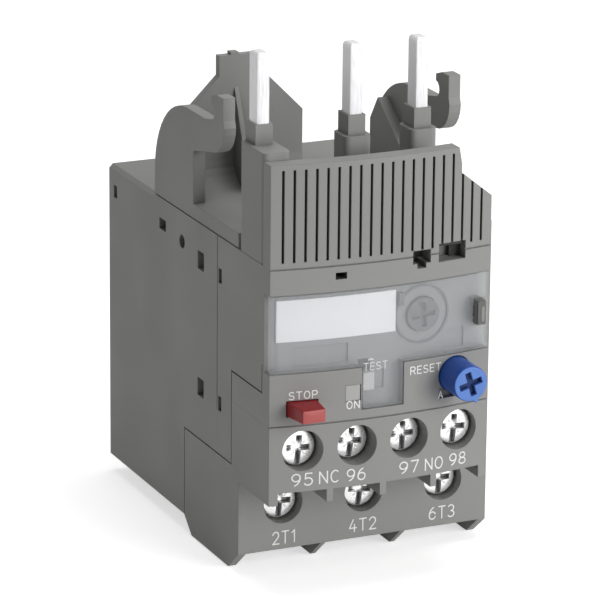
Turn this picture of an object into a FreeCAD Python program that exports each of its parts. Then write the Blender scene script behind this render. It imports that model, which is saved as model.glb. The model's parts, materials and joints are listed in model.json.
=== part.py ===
"""Thermal overload relay for direct mounting on a contactor.

Millimetres, +Z up, the front looks along -Y.  The origin is the middle of the
bounding box at the level of the barrier walls that the relay stands on.
Depths are measured from the back plane towards the front.
"""
import FreeCAD, Part
import Sketcher
import math
import os
import re

doc = FreeCAD.newDocument("thermal_overload_relay")

# ---------------------------------------------------------------- driving sizes
SIZES = {
    # rear housing
    "base_width": 45.0, "base_top": 55.3, "base_floor": 2.8, "wall": 1.6, "partition": 1.7, "edge_cut": 0.7,
    "seam_gap": 0.1, "seam_width": 0.25, "seam_depth": 0.25,
    # openings and joint lines in the sides
    "snap_back": 39.2, "snap_deep": 2.6, "snap_tall": 3.1, "snap_low": 25.7, "snap_high": 47.5,
    "slit_back": 47.9, "slit_deep": 1.3, "slit_tall": 2.5, "vent_back": 2.2, "vent_bottom": 49.9,
    "vent_deep": 1.4, "vent_tall": 2.2, "notch_back": 22.7, "notch_deep": 2.8, "notch_tall": 1.9,
    "peg_depth": 32.5, "peg_height": 50.2, "peg_radius": 1.2, "step_depth": 65.7, "step_height": 34.0,
    # main terminal block
    "terminal_back": 33.5, "terminal_depth": 56.35, "terminal_top": 18.3, "terminal_lip": 3.3,
    "barrier_slope": 3.2, "barrier_front": 52.3, "barrier_wall": 1.4, "barrier_rib": 0.9,
    "main_screw_height": 11.2, "screw_hole_radius": 3.45, "screw_sink": 2.0,
    "main_bar_play": 0.55, "main_bar_width": 6.4, "main_bar_thick": 1.2,
    "main_cage_width": 9.6, "main_cage_height": 9.0, "main_wire_gap": 4.6, "main_clamp_travel": 3.0,
    "cage_wall": 1.5, "cage_front": 2.0, "cage_clear": 0.4,
    # front housing
    "front_step": 6.3, "front_depth": 68.5, "front_bulge": 1.8, "front_skin": 1.5, "floor_skin": 1.6,
    # auxiliary terminal block
    "aux_back": 53.5, "aux_top": 29.0, "aux_wall_bottom": 17.9, "aux_side_bottom": 15.8,
    "aux_side_wall": 1.5, "aux_rib": 1.1, "aux_screw_height": 24.8, "aux_bar_play": 0.3,
    "aux_bar_width": 4.0, "aux_bar_thick": 1.0, "aux_cage_width": 7.2, "aux_cage_height": 6.6,
    "aux_wire_gap": 3.1, "aux_cage_wall": 1.0, "aux_cage_front": 1.2, "aux_clamp_travel": 1.4,
    "contact_depth": 54.6, "contact_rise": 4.6, "riser_end": 2.0, "contact_gap": 1.2,
    "rivet_half": 1.0, "rivet_height": 0.5, "bridge_thick": 0.8, "touch_gap": 0.1, "carrier_half": 1.2,
    "carrier_wall": 1.4, "carrier_thick": 1.8, "carrier_gap": 0.5,
    # screws
    "screw_head_radius": 2.8, "screw_head_height": 1.6, "main_shank_radius": 2.0,
    "aux_shank_radius": 1.75, "drive_width": 0.9, "drive_span": 4.4, "drive_depth": 0.9,
    "thread_clear": 0.05, "screw_tip_clear": 0.1,
    # contact pins and their sleeves
    "first_pin": 2.4, "second_pin": 16.1, "third_pin": 11.6, "pin_depth": 58.4,
    "pin_width": 2.3, "pin_length_y": 3.2, "pin_top": 88.2, "pin_bottom": 49.5, "pin_tip": 0.8,
    "pin_clear": 0.05,
    "collar_top": 76.7, "collar_wall": 0.35, "column_top": 73.4, "column_side": 1.2, "column_back": 56.1,
    "column_front": 61.2, "column_round": 1.0,
    # coupling frame
    "slab_thick": 2.6, "slab_front": 55.9, "hook_back": 20.7, "hook_plate": 2.1, "hook_inset": 2.85,
    "hook_front": 37.3, "under_fall": 1.7, "dome_height": 59.6, "dome_radius": 13.85, "throat_in": 5.2,
    "throat_rise": 0.5, "throat_radius": 1.35, "beak_front": 49.9, "beak_thick": 1.85, "beak_slope": 0.7,
    "beak_step": 0.4, "nose_rise": 0.15, "nose_radius": 5.0, "rib_thick": 1.9, "rib_setback": 2.9,
    "rib_height": 65.4, "rib_top": 69.6, "rib_fall": 62.0,
    "latch_depth": 27.0, "latch_thick": 1.5, "latch_top": 79.9, "latch_shoulder": 76.5, "latch_half": 4.1,
    "latch_slope": 6.9, "latch_in": 12.4, "nub_width": 1.4, "nub_rise": 0.5, "cove_radius": 4.4,
    "gusset_reach": 6.7, "gusset_top": 74.5, "gusset_thick": 0.8, "gusset_aside": 1.4,
    # hood, with the grooves and the two openings at its lower edge
    "hood_top": 72.2, "hood_thick": 2.8, "hood_shoulder": 67.7, "hood_corner": 63.4, "shoulder_in": 5.5,
    "crest_in": 6.4,
    "groove_count": 20, "groove_inset": 2.0, "groove_width": 0.42, "groove_cut": 0.9, "groove_margin": 0.9,
    "key_in": 14.6, "key_width": 3.2, "key_down": 1.4, "key_up": 0.8, "key_step": 0.8,
    "sight_in": 9.9, "sight_width": 5.0, "sight_down": 1.6, "sight_up": 1.4, "slot_in": 10.7,
    "slot_width": 1.9, "slot_down": 2.4, "slot_tall": 1.1,
    # clear cover and what lies under it
    "cover_sink": 2.2, "cover_thick": 1.0, "cover_bottom": 37.8, "cover_top": 50.9, "cover_clear": 0.2,
    "tab_in": 15.4, "tab_width": 7.4, "tab_bottom": 30.7, "hinge_radius": 0.8,
    "hinge_stub": 0.4, "hinge_reach": 0.6, "seal_in": 3.1, "seal_width": 2.2, "seal_bottom": 42.0,
    "seal_height": 4.6, "lug_proud": 0.9, "lug_clear": 0.3, "lug_wall": 1.4, "label_in": 1.8,
    "label_gap": 4.9, "label_bottom": 42.6, "label_height": 6.9, "label_thick": 0.4,
    "dial_in": 11.8, "dial_height": 44.8, "dial_radius": 2.8, "dial_proud": 0.5, "cam_length": 3.2,
    "cam_width": 2.2, "shaft_half": 1.2, "shaft_length": 4.2, "rim_step": 0.6, "rim_back": 1.2,
    "relief": 0.3, "relief_bottom": 38.2, "relief_top": 41.5,
    "panel_in": 4.8, "panel_width": 9.1, "pane_in": 7.8, "pane_width": 4.0,
    # buttons
    "run_clear": 0.15, "flange_depth": 62.6, "flange_thick": 1.4, "flange_step": 0.8, "spring_wall": 56.4,
    "spring_wall_thick": 0.8, "spring_wall_top": 37.6,
    "stop_in": 5.4, "stop_height": 32.0, "stop_width": 5.0, "stop_tip": 4.1, "stop_tall": 2.4,
    "stop_reach": 4.8, "reset_in": 6.4, "reset_height": 34.4, "reset_radius": 2.95, "reset_reach": 5.0,
    "cap_thick": 2.0, "plunger_radius": 1.5, "cross_angle": 17.0, "cross_half": 2.1, "pointer_angle": 290.0,
    "pointer_proud": 0.8, "pointer_thick": 1.6, "mark_notch": 1.8, "mark_drop": 0.8,
    "flag_in": 13.9, "flag_height": 33.7, "flag_size": 2.4, "flag_sink": 0.7,
    "test_aside": 1.3, "test_height": 34.9, "test_width": 1.8, "test_tall": 2.9, "test_travel": 2.0,
    "test_pocket": 2.6, "stop_coil": 1.15, "reset_coil": 2.3, "spring_wire": 0.4, "spring_facets": 8,
    "seat_clear": 0.2,
    # thermal system
    "bimetal_depth": 25.0, "bimetal_width": 5.0, "bimetal_thick": 0.8, "bimetal_top": 48.2,
    "main_bar_height": 19.9, "heater_turns": 5, "heater_pitch": 3.5, "heater_bottom": 24.5,
    "heater_wire": 1.2, "heater_clear": 0.35, "lead_thick": 1.2, "lead_width": 3.0,
    "lead_turn": 48.7, "slide_bar_bottom": 45.0, "slide_bar_thick": 1.0, "slide_bar_gap": 0.4,
    "slide_bar_edge": 2.8, "slide_travel": 1.2, "slide_clear": 0.3,
    "lever_aside": 3.5, "lever_thick": 1.5, "lever_tall": 2.8, "lever_back": 24.0, "lever_front": 50.5,
    "lever_pivot": 38.0, "post_radius": 0.8, "post_boss": 1.6, "strip_thick": 0.6, "strip_tall": 2.4,
    "strip_start": 3.0,
}

sheet = doc.addObject("Spreadsheet::Sheet", "Sizes")
for row, (alias, value) in enumerate(SIZES.items(), start=1):
    sheet.set("A%d" % row, alias)
    sheet.set("B%d" % row, str(value))
    sheet.setAlias("B%d" % row, alias)
doc.recompute()

# formulas that several pieces share
SHARED = {
    "back_y": "((front_depth + front_bulge + reset_reach) / 2)",
    "left_x": "(0 - base_width / 2)",
    "pole_pitch": "((base_width - 2 * wall + partition) / 3)",
    "rear_depth": "(main_bar_depth + main_bar_thick + seam_gap)",
    "main_bar_depth": "(terminal_depth - screw_sink - screw_head_height - main_clamp_travel - cage_front"
                      " - main_bar_thick - main_bar_play)",
    "aux_bar_depth": "(front_depth - screw_sink - screw_head_height - aux_clamp_travel - aux_cage_front"
                     " - aux_bar_thick - aux_bar_play)",
    "front_width": "(base_width - front_step)",
    "aux_pitch": "((front_width - 2 * aux_side_wall + aux_rib) / 4)",
    "dome_top": "(dome_height + dome_radius)",
    "nose_height": "(dome_top + nose_rise)",
    "throat_depth": "(beak_front - throat_in)",
    "throat_height": "(dome_top + throat_radius + throat_rise)",
    "beak_top": "(throat_height + throat_radius + beak_thick)",
    "hook_under": "(nose_height - nose_radius - under_fall)",
    "slab_top": "(base_top + slab_thick)",
    "latch_middle": "(left_x + latch_in)",
    "lever_x": "(pole_pitch + lever_aside)",
    "contact_height": "(reset_height + contact_rise)",
    "contact_bar_top": "(contact_height + riser_end)",
    "stop_x": "(left_x + stop_in)",
    "flag_x": "(left_x + flag_in)",
    "tab_left": "(left_x + tab_in)",
    "test_x": "(tab_left + test_aside)",
    "dial_x": "(front_right - dial_in)",
    "reset_x": "(front_right - reset_in)",
    "seal_left": "(front_right - seal_in)",
    "label_left": "(left_x + label_in)",
    "label_right": "(dial_x - label_gap)",
    "key_left": "(front_right - key_in)",
    "sight_left": "(front_right - sight_in)",
    "slot_left": "(left_x + slot_in)",
    "groove_pitch": "((front_width - 2 * groove_inset) / (groove_count - 1))",
    "front_right": "(front_width - base_width / 2)",
    "face_x": "(front_width / 2 - base_width / 2)",
    "face_radius": "((front_width * front_width / 4 + front_bulge * front_bulge) / (2 * front_bulge))",
    "face_reach": "(front_depth + front_bulge)",
    "cavity_front": "(front_depth - cover_sink - front_skin)",
    "floor_top": "(aux_top + floor_skin)",
}


def formula(text):
    """Sheet formula for a size expression: shared names expand, aliases get the sheet's name."""
    text = str(text)
    for _ in range(5):
        text = re.sub(r"[a-z_]+", lambda word: SHARED.get(word.group(), word.group()), text)
    return re.sub(r"[a-z][a-z0-9_]*", lambda word: "Sizes." + word.group()
                  if word.group() in SIZES else word.group(), text)


def number(text):
    """Value of a size expression."""
    return float(sheet.evalExpression(formula(text)))


def bind(target, prop, text):
    target.setExpression(prop, formula(text))


# ---------------------------------------------------------------- building blocks
counter = {}


def unique(stem):
    counter[stem] = counter.get(stem, 0) + 1
    return "%s_%d" % (stem, counter[stem])


def centred(middle, width, clear="0"):
    """The two limits of a width about its middle, with a clearance on each side."""
    half = "(%s) / 2 + %s" % (width, clear)
    return ("%s - (%s)" % (middle, half), "%s + (%s)" % (middle, half))


def box(stem, xs, depths, zs):
    """Box between two x values, two depths and two heights."""
    solid = doc.addObject("Part::Box", unique(stem))
    bind(solid, "Length", "(%s) - (%s)" % (xs[1], xs[0]))
    bind(solid, "Width", "(%s) - (%s)" % (depths[1], depths[0]))
    bind(solid, "Height", "(%s) - (%s)" % (zs[1], zs[0]))
    bind(solid, "Placement.Base.x", xs[0])
    bind(solid, "Placement.Base.y", "back_y - (%s)" % depths[1])
    bind(solid, "Placement.Base.z", zs[0])
    return solid


def rod(stem, x, depths, z, radius):
    """Round rod along the depth."""
    solid = doc.addObject("Part::Cylinder", unique(stem))
    bind(solid, "Radius", radius)
    bind(solid, "Height", "(%s) - (%s)" % (depths[1], depths[0]))
    solid.Placement = FreeCAD.Placement(FreeCAD.Vector(), FreeCAD.Rotation(FreeCAD.Vector(1, 0, 0), 90))
    bind(solid, "Placement.Base.x", x)
    bind(solid, "Placement.Base.y", "back_y - (%s)" % depths[0])
    bind(solid, "Placement.Base.z", z)
    return solid


def post(stem, x, depth, zs, radius):
    """Upright round post."""
    solid = doc.addObject("Part::Cylinder", unique(stem))
    bind(solid, "Radius", radius)
    bind(solid, "Height", "(%s) - (%s)" % (zs[1], zs[0]))
    bind(solid, "Placement.Base.x", x)
    bind(solid, "Placement.Base.y", "back_y - (%s)" % depth)
    bind(solid, "Placement.Base.z", zs[0])
    return solid


def fuse(stem, *solids):
    joined = doc.addObject("Part::MultiFuse", unique(stem))
    joined.Shapes = list(solids)
    joined.Refine = True
    return joined


def cut(stem, base, *tools):
    result = doc.addObject("Part::Cut", unique(stem))
    result.Base = base
    result.Tool = tools[0] if len(tools) == 1 else fuse(stem + "_tools", *tools)
    return result


def common(stem, first, second):
    result = doc.addObject("Part::Common", unique(stem))
    result.Base = first
    result.Tool = second
    return result


def prism(stem, plane, corners, along):
    """PartDesign pad of a polygon.

    plane "side": corners are (depth, z) and the pad runs in x; plane "front": corners are
    (x, z) and the pad runs in depth; plane "top": corners are (x, depth) and it runs in z.
    along holds the two limits of the pad.
    """
    body = doc.addObject("PartDesign::Body", unique(stem))
    sketch = body.newObject("Sketcher::SketchObject", body.Name + "_outline")
    role = {"side": "YZ_Plane", "front": "XZ_Plane", "top": "XY_Plane"}[plane]
    origin_plane = [f for f in body.Origin.OriginFeatures if f.Role == role][0]
    sketch.AttachmentSupport = [(origin_plane, "")]
    sketch.MapMode = "FlatFace"
    if plane == "side":
        pairs = [("0 - (%s)" % a, b) for a, b in corners]
    elif plane == "top":
        pairs = [(a, "0 - (%s)" % b) for a, b in corners]
    else:
        pairs = list(corners)
    places = [FreeCAD.Vector(number(a), number(b), 0) for a, b in pairs]
    count = len(places)
    for i in range(count):
        sketch.addGeometry(Part.LineSegment(places[i], places[(i + 1) % count]), False)
    for i in range(count):
        sketch.addConstraint(Sketcher.Constraint("Coincident", i, 2, (i + 1) % count, 1))
    for i, (a, b) in enumerate(pairs):
        for kind, value, text in (("DistanceX", places[i].x, a), ("DistanceY", places[i].y, b)):
            index = sketch.addConstraint(Sketcher.Constraint(kind, -1, 1, i, 1, value))
            bind(sketch, "Constraints[%d]" % index, text)
    pad = body.newObject("PartDesign::Pad", body.Name + "_pad")
    pad.Profile = sketch
    bind(pad, "Length", "(%s) - (%s)" % (along[1], along[0]))
    if plane == "side":
        bind(body, "Placement.Base.x", along[0])
        bind(body, "Placement.Base.y", "back_y")
    elif plane == "front":
        bind(body, "Placement.Base.y", "back_y - (%s)" % along[0])
    else:
        bind(body, "Placement.Base.y", "back_y")
        bind(body, "Placement.Base.z", along[0])
    return body


def arc(across, height, radius, start, stop, steps):
    """Corners along an arc about a centre, from one angle to another in degrees."""
    corners = []
    for k in range(steps + 1):
        angle = math.radians(start + (stop - start) * k / steps)
        corners.append(("%s + (%s) * (%.5f)" % (across, radius, math.cos(angle)),
                        "%s + (%s) * (%.5f)" % (height, radius, math.sin(angle))))
    return corners


def bar_about(stem, x, z, reach, half, angle, along):
    """Bar along the depth's face from one reach to the other of a centre, turned by an angle."""
    c, s = math.cos(math.radians(angle)), math.sin(math.radians(angle))
    corners = []
    for a, b in ((reach[0], "0 - (%s)" % half), (reach[1], "0 - (%s)" % half), (reach[1], half), (reach[0],
                                                                                                  half)):
        corners.append(("%s + (%s) * (%.5f) - (%s) * (%.5f)" % (x, a, c, b, s),
                        "%s + (%s) * (%.5f) + (%s) * (%.5f)" % (z, a, s, b, c)))
    return prism(stem, "front", corners, along)


nodes = []


def node(label, solid):
    """Name a finished sub-part."""
    solid.Label = label
    nodes.append(solid)
    return solid


def face_cylinder(stem, inset):
    """Upright cylinder whose front is the curved front face, moved inwards by inset."""
    return post(stem, "face_x", "face_reach - face_radius", ("-1", "hood_top + 1"),
                "face_radius - (%s)" % inset)


# ---------------------------------------------------------------- repeated places
poles = ["(0 - pole_pitch)", "(0)", "(pole_pitch)"]
pins = ["(left_x + first_pin)", "(left_x + first_pin + second_pin)",
        "(left_x + first_pin + second_pin + third_pin)"]
aux_places = ["(face_x + aux_pitch * %s)" % k for k in ("(-1.5)", "(-0.5)", "0.5", "1.5")]
pole_names = ["2t1", "4t2", "6t3"]
aux_names = ["95", "96", "97", "98"]


def side_skins(right_side):
    """X limits of the shallow joint lines in the left and right sides."""
    return (("left_x - 1", "left_x + seam_depth"), ("%s - seam_depth" % right_side, "%s + 1" % right_side))


# ---------------------------------------------------------------- rear housing
def rear_housing():
    half_room = "((pole_pitch - partition) / 2)"
    shell = box("rear_block", ("left_x", "base_width / 2"), ("0", "rear_depth"), ("base_floor", "base_top"))
    corner = box("rear_corner", ("left_x - 1", "base_width / 2 + 1"), ("terminal_back", "rear_depth + 1"),
                 ("base_floor - 1", "terminal_top"))
    tools = [corner]
    for x in poles:
        sides = (x + " - " + half_room, x + " + " + half_room)
        tools.append(box("pole_room", sides, ("wall", "rear_depth + 1"),
                         ("terminal_top + wall", "base_top - wall")))
        tools.append(box("pole_pit", sides, ("wall", "terminal_back - wall"),
                         ("base_floor + wall", "terminal_top + wall + 1")))
        tools.append(box("bar_slot", centred(x, "main_bar_width", "run_clear"),
                         ("main_bar_depth - run_clear", "main_bar_depth + main_bar_thick + run_clear"),
                         ("terminal_top - 1", "terminal_top + wall + 1")))
    tools.append(box("slide_slot", (poles[0] + " - 1", poles[2] + " + 1"),
                     ("bimetal_depth - slide_bar_edge - slide_clear",
                      "bimetal_depth + bimetal_width + slide_bar_edge"),
                     ("slide_bar_bottom - 1", "slide_bar_bottom + 2 * slide_bar_thick + slide_bar_gap + 1")))
    for x0, side in (("left_x - 1", "left_x"), ("base_width / 2 - wall - 1", "base_width / 2")):
        across = (x0, x0 + " + wall + 2")
        for back, low, deep, tall in (("snap_back", "snap_low", "snap_deep", "snap_tall"),
                                      ("snap_back", "snap_high", "snap_deep", "snap_tall"),
                                      ("vent_back", "vent_bottom", "vent_deep", "vent_tall"),
                                      ("notch_back", "vent_bottom", "notch_deep", "notch_tall")):
            tools.append(box("side_window", across, (back, "%s + %s" % (back, deep)), (low, "%s + %s" % (low,
                                                                                                         tall))))
        tools.append(prism("peg_hole", "side", arc("peg_depth", "peg_height", "peg_radius", 330, 0, 11),
                           across))
        inner = ("left_x + edge_cut" if side == "left_x" else "base_width / 2 - edge_cut")
        outer = ("left_x - 1" if side == "left_x" else "base_width / 2 + 1")
        corners = [(side, "base_top - edge_cut"), (inner, "base_top"), (inner, "base_top + 1"),
                   (outer, "base_top + 1"), (outer, "base_top - edge_cut")]
        tools.append(prism("top_edge", "front", corners if side == "left_x" else corners[::-1], ("-1",
                                                                                                 "hook_back")))
    return node("rear_housing", cut("rear_shell", shell, *tools))


# ---------------------------------------------------------------- main terminal block
def terminal_block():
    body = box("terminal_body", ("left_x", "base_width / 2"), ("terminal_back", "terminal_depth"),
               ("terminal_lip", "terminal_top"))
    outline = [("terminal_back", "terminal_lip + 1"), ("terminal_back", "base_floor"),
               ("terminal_back + barrier_slope", "0"), ("barrier_front", "0"),
               ("terminal_depth", "terminal_lip"), ("terminal_depth", "terminal_lip + 1")]
    walls = [("left_x", "left_x + barrier_wall"), ("base_width / 2 - barrier_wall", "base_width / 2")]
    for x in ("(0 - pole_pitch / 2)", "(pole_pitch / 2)"):
        walls.append(centred(x, "barrier_rib"))
    solid = fuse("terminal_solid", body, *[prism("barrier", "side", outline, limits) for limits in walls])
    tools = []
    for x in poles:
        tools.append(box("cage_room", centred(x, "main_cage_width", "cage_clear"),
                         ("main_bar_depth - main_wire_gap - cage_wall - cage_clear",
                          "terminal_depth - screw_sink - screw_head_height"),
                         ("terminal_lip - 1", "main_screw_height + main_cage_height / 2 + cage_clear")))
        tools.append(rod("screw_hole", x, ("terminal_depth - screw_sink - screw_head_height - 1",
                                           "terminal_depth + 1"),
                         "main_screw_height", "screw_hole_radius"))
        tools.append(box("bar_slot", centred(x, "main_bar_width", "run_clear"),
                         ("main_bar_depth - run_clear", "main_bar_depth + main_bar_thick + run_clear"),
                         ("main_screw_height", "terminal_top + 1")))
    for across in side_skins("base_width / 2"):
        tools.append(box("seam", across, ("terminal_back - 1", "aux_back"), ("terminal_top - seam_width",
                                                                             "terminal_top + 1")))
        tools.append(box("seam", across, ("terminal_back - 1", "terminal_back + seam_width"), ("base_floor",
                                                                                               "terminal_top")))
    return node("terminal_block", cut("terminal_shell", solid, *tools))


# ---------------------------------------------------------------- front housing
def front_housing():
    rear_part = box("front_rear", ("left_x", "base_width / 2"), ("rear_depth", "terminal_depth"),
                    ("terminal_top", "base_top"))
    block = box("front_block", ("left_x", "front_right"), ("terminal_depth", "face_reach + 1"),
                ("aux_top", "base_top"))
    solid = fuse("front_solid", rear_part, common("front_curved", block, face_cylinder("front_face", "0")))
    # place of the auxiliary block
    tools = [box("aux_place", ("left_x - 1", "front_right"), ("aux_back", "face_reach + 1"),
                 ("terminal_top - 1", "aux_top"))]
    # rooms
    tools.append(box("front_room", ("left_x + wall", "front_right - wall"), ("rear_depth - 1",
                                                                             "cavity_front"),
                     ("floor_top", "base_top - wall")))
    tools.append(box("side_room", ("left_x + wall", "base_width / 2 - wall"),
                     ("rear_depth - 1", "aux_back - wall"), ("terminal_top + wall", "base_top - wall")))
    for x in pins:
        tools.append(box("pin_slot", centred(x, "pin_width", "pin_clear"),
                         centred("pin_depth", "pin_length_y", "pin_clear"),
                         ("pin_bottom - pin_clear", "base_top + 1")))
    for x in aux_places:
        tools.append(box("bar_channel", centred(x, "aux_bar_width", "run_clear"),
                         ("contact_depth - run_clear", "aux_bar_depth + aux_bar_thick + run_clear"),
                         ("aux_top - 1", "floor_top + 1")))
    # recess for the clear cover, with its tab
    recess = fuse("cover_recess",
                  box("recess_main", ("left_x - 1", "front_right + 1"), ("front_depth - 5", "face_reach + 1"),
                      ("cover_bottom", "cover_top")),
                  box("recess_tab", ("tab_left", "tab_left + tab_width"), ("front_depth - 5",
                                                                           "face_reach + 1"),
                      ("tab_bottom", "cover_bottom + 1")))
    tools.append(cut("recess_shell", recess, face_cylinder("recess_floor", "cover_sink")))
    # shallow reliefs of the cover's recess
    floor = ("front_depth - 5", "face_reach + 1")
    reliefs = fuse("reliefs",
                   box("panel", ("left_x + panel_in", "left_x + panel_in + panel_width"), floor,
                       ("relief_bottom", "relief_top")),
                   box("pane", ("front_right - pane_in", "front_right - pane_in + pane_width"), floor,
                       ("relief_bottom", "relief_top")),
                   box("test_pocket", ("test_x", "test_x + test_width / 2 + test_pocket"), floor,
                       centred("test_height", "test_tall", "run_clear")))
    tools.append(cut("relief_cuts", reliefs, face_cylinder("relief_floor", "cover_sink + relief")))
    # openings under the hood and the small slot beside them
    key_middle = "(key_left + key_width / 2)"
    for xs, zs in ((("key_left", "key_left + key_width"), ("base_top - key_down", "base_top + 1")),
                   ((key_middle + " - key_step", key_middle + " + key_step"),
                    ("base_top - key_down - key_step", "base_top")),
                   (("sight_left", "sight_left + sight_width"), ("base_top - sight_down", "base_top + 1")),
                   (("slot_left", "slot_left + slot_width"), ("base_top - slot_down",
                                                              "base_top - slot_down + slot_tall"))):
        tools.append(box("hood_notch", xs, ("front_depth - cover_sink", "face_reach + 1"), zs))
    # joint lines round the front and down the sides
    lines = fuse("front_lines",
                 box("front_line", ("left_x - 1", "front_right + 1"), ("terminal_depth + 1",
                                                                       "face_reach + 1"),
                     ("aux_top - 1", "aux_top + seam_width")),
                 box("front_line", ("left_x - 1", "front_right + 1"), ("terminal_depth + 1",
                                                                       "face_reach + 1"),
                     ("base_top - seam_width", "base_top + 1")))
    tools.append(cut("line_cuts", lines, face_cylinder("line_floor", "seam_depth")))
    for across in side_skins("base_width / 2"):
        tools.append(box("seam", across, ("rear_depth - 1", "rear_depth + seam_width"), ("snap_low",
                                                                                         "base_top + 1")))
        tools.append(box("seam", across, ("aux_back - seam_width", "aux_back"), ("terminal_top - 1",
                                                                                 "step_height")))
        tools.append(box("slit", (across[0] + " - wall", across[1] + " + wall"), ("slit_back",
                                                                                  "slit_back + slit_deep"),
                         ("snap_low", "snap_low + slit_tall")))
        tools.append(box("slit", (across[0] + " - wall", across[1] + " + wall"), ("slit_back",
                                                                                  "slit_back + slit_deep"),
                         ("snap_high", "snap_high + slit_tall")))
    left = side_skins("base_width / 2")[0]
    tools.append(box("seam", left, ("aux_back - seam_width", "step_depth"), ("step_height",
                                                                             "step_height + seam_width")))
    tools.append(box("seam", left, ("step_depth - seam_width", "step_depth"), ("step_height",
                                                                               "cover_bottom + 1")))
    tools.append(box("mark_notch", ("reset_x - reset_radius", "reset_x"), ("front_depth", "face_reach + 1"),
                     ("reset_height - reset_radius - mark_drop",
                      "reset_height - reset_radius - mark_drop + mark_notch")))
    for zs in (("cover_bottom - 1.5 * hinge_reach", "cover_bottom + 1"), ("cover_top - 1",
                                                                          "cover_top + 1.5 * hinge_reach")):
        rim = arc("left_x + hinge_radius + cover_clear", "front_depth - hinge_radius - cover_clear",
                  "hinge_stub + seam_gap", 330, 0, 11)
        tools.append(prism("hinge_hole", "top", rim, zs))
    # openings for the controls
    through = ("cavity_front - 1", "face_reach + 1")
    tools.append(rod("dial_hole", "dial_x", through, "dial_height", "dial_radius + run_clear"))
    tools.append(rod("reset_hole", "reset_x", through, "reset_height", "reset_radius + run_clear"))
    tools.append(box("stop_hole", centred("stop_x", "stop_width", "run_clear"), through,
                     centred("stop_height", "stop_tall", "run_clear")))
    tools.append(box("flag_hole", centred("flag_x", "flag_size", "run_clear"), through,
                     centred("flag_height", "flag_size", "run_clear")))
    tools.append(box("test_slot", centred("test_x", "test_width", "run_clear"), through,
                     ("test_height - test_tall / 2 - run_clear",
                      "test_height + test_tall / 2 + test_travel + run_clear")))
    shell = cut("front_shell", solid, *tools)
    spring_wall = box("spring_wall", ("left_x + wall", "front_right - wall"),
                      ("spring_wall", "spring_wall + spring_wall_thick"), ("floor_top", "spring_wall_top"))
    eyelet = box("eyelet", ("seal_left + lug_clear", "seal_left + seal_width - lug_clear"),
                 ("cavity_front", "front_depth + lug_proud"),
                 ("seal_bottom + lug_clear", "seal_bottom + seal_height - lug_clear"))
    hole = box("eyelet_hole", ("seal_left - 1", "seal_left + seal_width + 1"),
               ("front_depth + lug_proud - lug_wall - lug_clear", "front_depth + lug_proud - lug_wall / 2"),
               ("seal_bottom + lug_wall", "seal_bottom + seal_height - lug_wall"))
    return node("front_housing", fuse("front_housing_solid", shell, spring_wall, cut("eyelet_cut", eyelet,
                                                                                     hole)))


# ---------------------------------------------------------------- auxiliary terminal block
def aux_block():
    upper = box("aux_upper", ("left_x", "front_right"), ("aux_back", "terminal_depth"), ("terminal_top",
                                                                                         "aux_top"))
    lower = box("aux_lower", ("left_x", "front_right"), ("terminal_depth", "face_reach + 1"),
                ("aux_side_bottom", "aux_top"))
    solid = fuse("aux_solid", upper, common("aux_curved", lower, face_cylinder("aux_face", "0")))
    room_half = "((aux_pitch - aux_rib) / 2)"
    head_back = "(front_depth - screw_sink - screw_head_height)"
    tools = []
    for x in aux_places:
        sides = (x + " - " + room_half, x + " + " + room_half)
        tools.append(box("aux_room", sides, ("aux_bar_depth - aux_wire_gap - aux_cage_wall - cage_clear / 2",
                                             head_back),
                         ("aux_side_bottom - 1", "aux_screw_height + aux_cage_height / 2 + cage_clear")))
        tools.append(box("aux_mouth", sides, ("terminal_depth - 1", "face_reach + 1"),
                         ("aux_side_bottom - 1", "aux_wall_bottom")))
        tools.append(rod("aux_hole", x, (head_back + " - 1", "face_reach + 1"), "aux_screw_height",
                         "screw_hole_radius - cage_clear / 8"))
        tools.append(box("aux_slot", centred(x, "aux_bar_width", "run_clear"),
                         ("aux_bar_depth - run_clear", "aux_bar_depth + aux_bar_thick + run_clear"),
                         ("aux_screw_height", "aux_top + 1")))
    return node("aux_block", cut("aux_shell", solid, *tools))


# ---------------------------------------------------------------- terminal hardware
def screw(label, x, z, head_front, tip, shank):
    """Pan head screw along the depth, with a combined slot and cross drive."""
    head = rod("screw_head", x, (head_front + " - screw_head_height", head_front), z, "screw_head_radius")
    stem = rod("screw_stem", x, (tip, head_front + " - screw_head_height"), z, shank)
    drive = ("%s - drive_depth" % head_front, "%s + 1" % head_front)
    slot_x = box("drive_x", centred(x, "drive_span"), drive,
                 centred(z, "drive_width"))
    slot_z = box("drive_z", centred(x, "drive_width"), drive,
                 centred(z, "drive_span"))
    return node(label, cut("screw_cut", fuse("screw_solid", head, stem), slot_x, slot_z))


def cage(label, x, z, bar, width, height, gap, back_wall, front_wall, travel, head_back, shank):
    """Cage clamp, open: a square tube for the wire, threaded on the screw in its front wall."""
    front = "(%s - %s - thread_clear)" % (head_back, travel)
    outer = box("cage_outer", centred(x, width),
                ("%s - %s - %s" % (bar, gap, back_wall), front),
                centred(z, height))
    inner = box("cage_inner", ("%s - %s / 2 + cage_wall / 2" % (x, width),
                               "%s + %s / 2 - cage_wall / 2" % (x, width)),
                ("%s - %s" % (bar, gap), "%s - %s" % (front, front_wall)),
                ("%s - %s / 2 - 1" % (z, height), "%s + %s / 2 + 1" % (z, height)))
    hole = rod("cage_hole", x, ("%s - %s - 1" % (front, front_wall), front + " + 1"), z,
               shank + " + thread_clear")
    return node(label, cut("cage_cut", outer, inner, hole))


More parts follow.
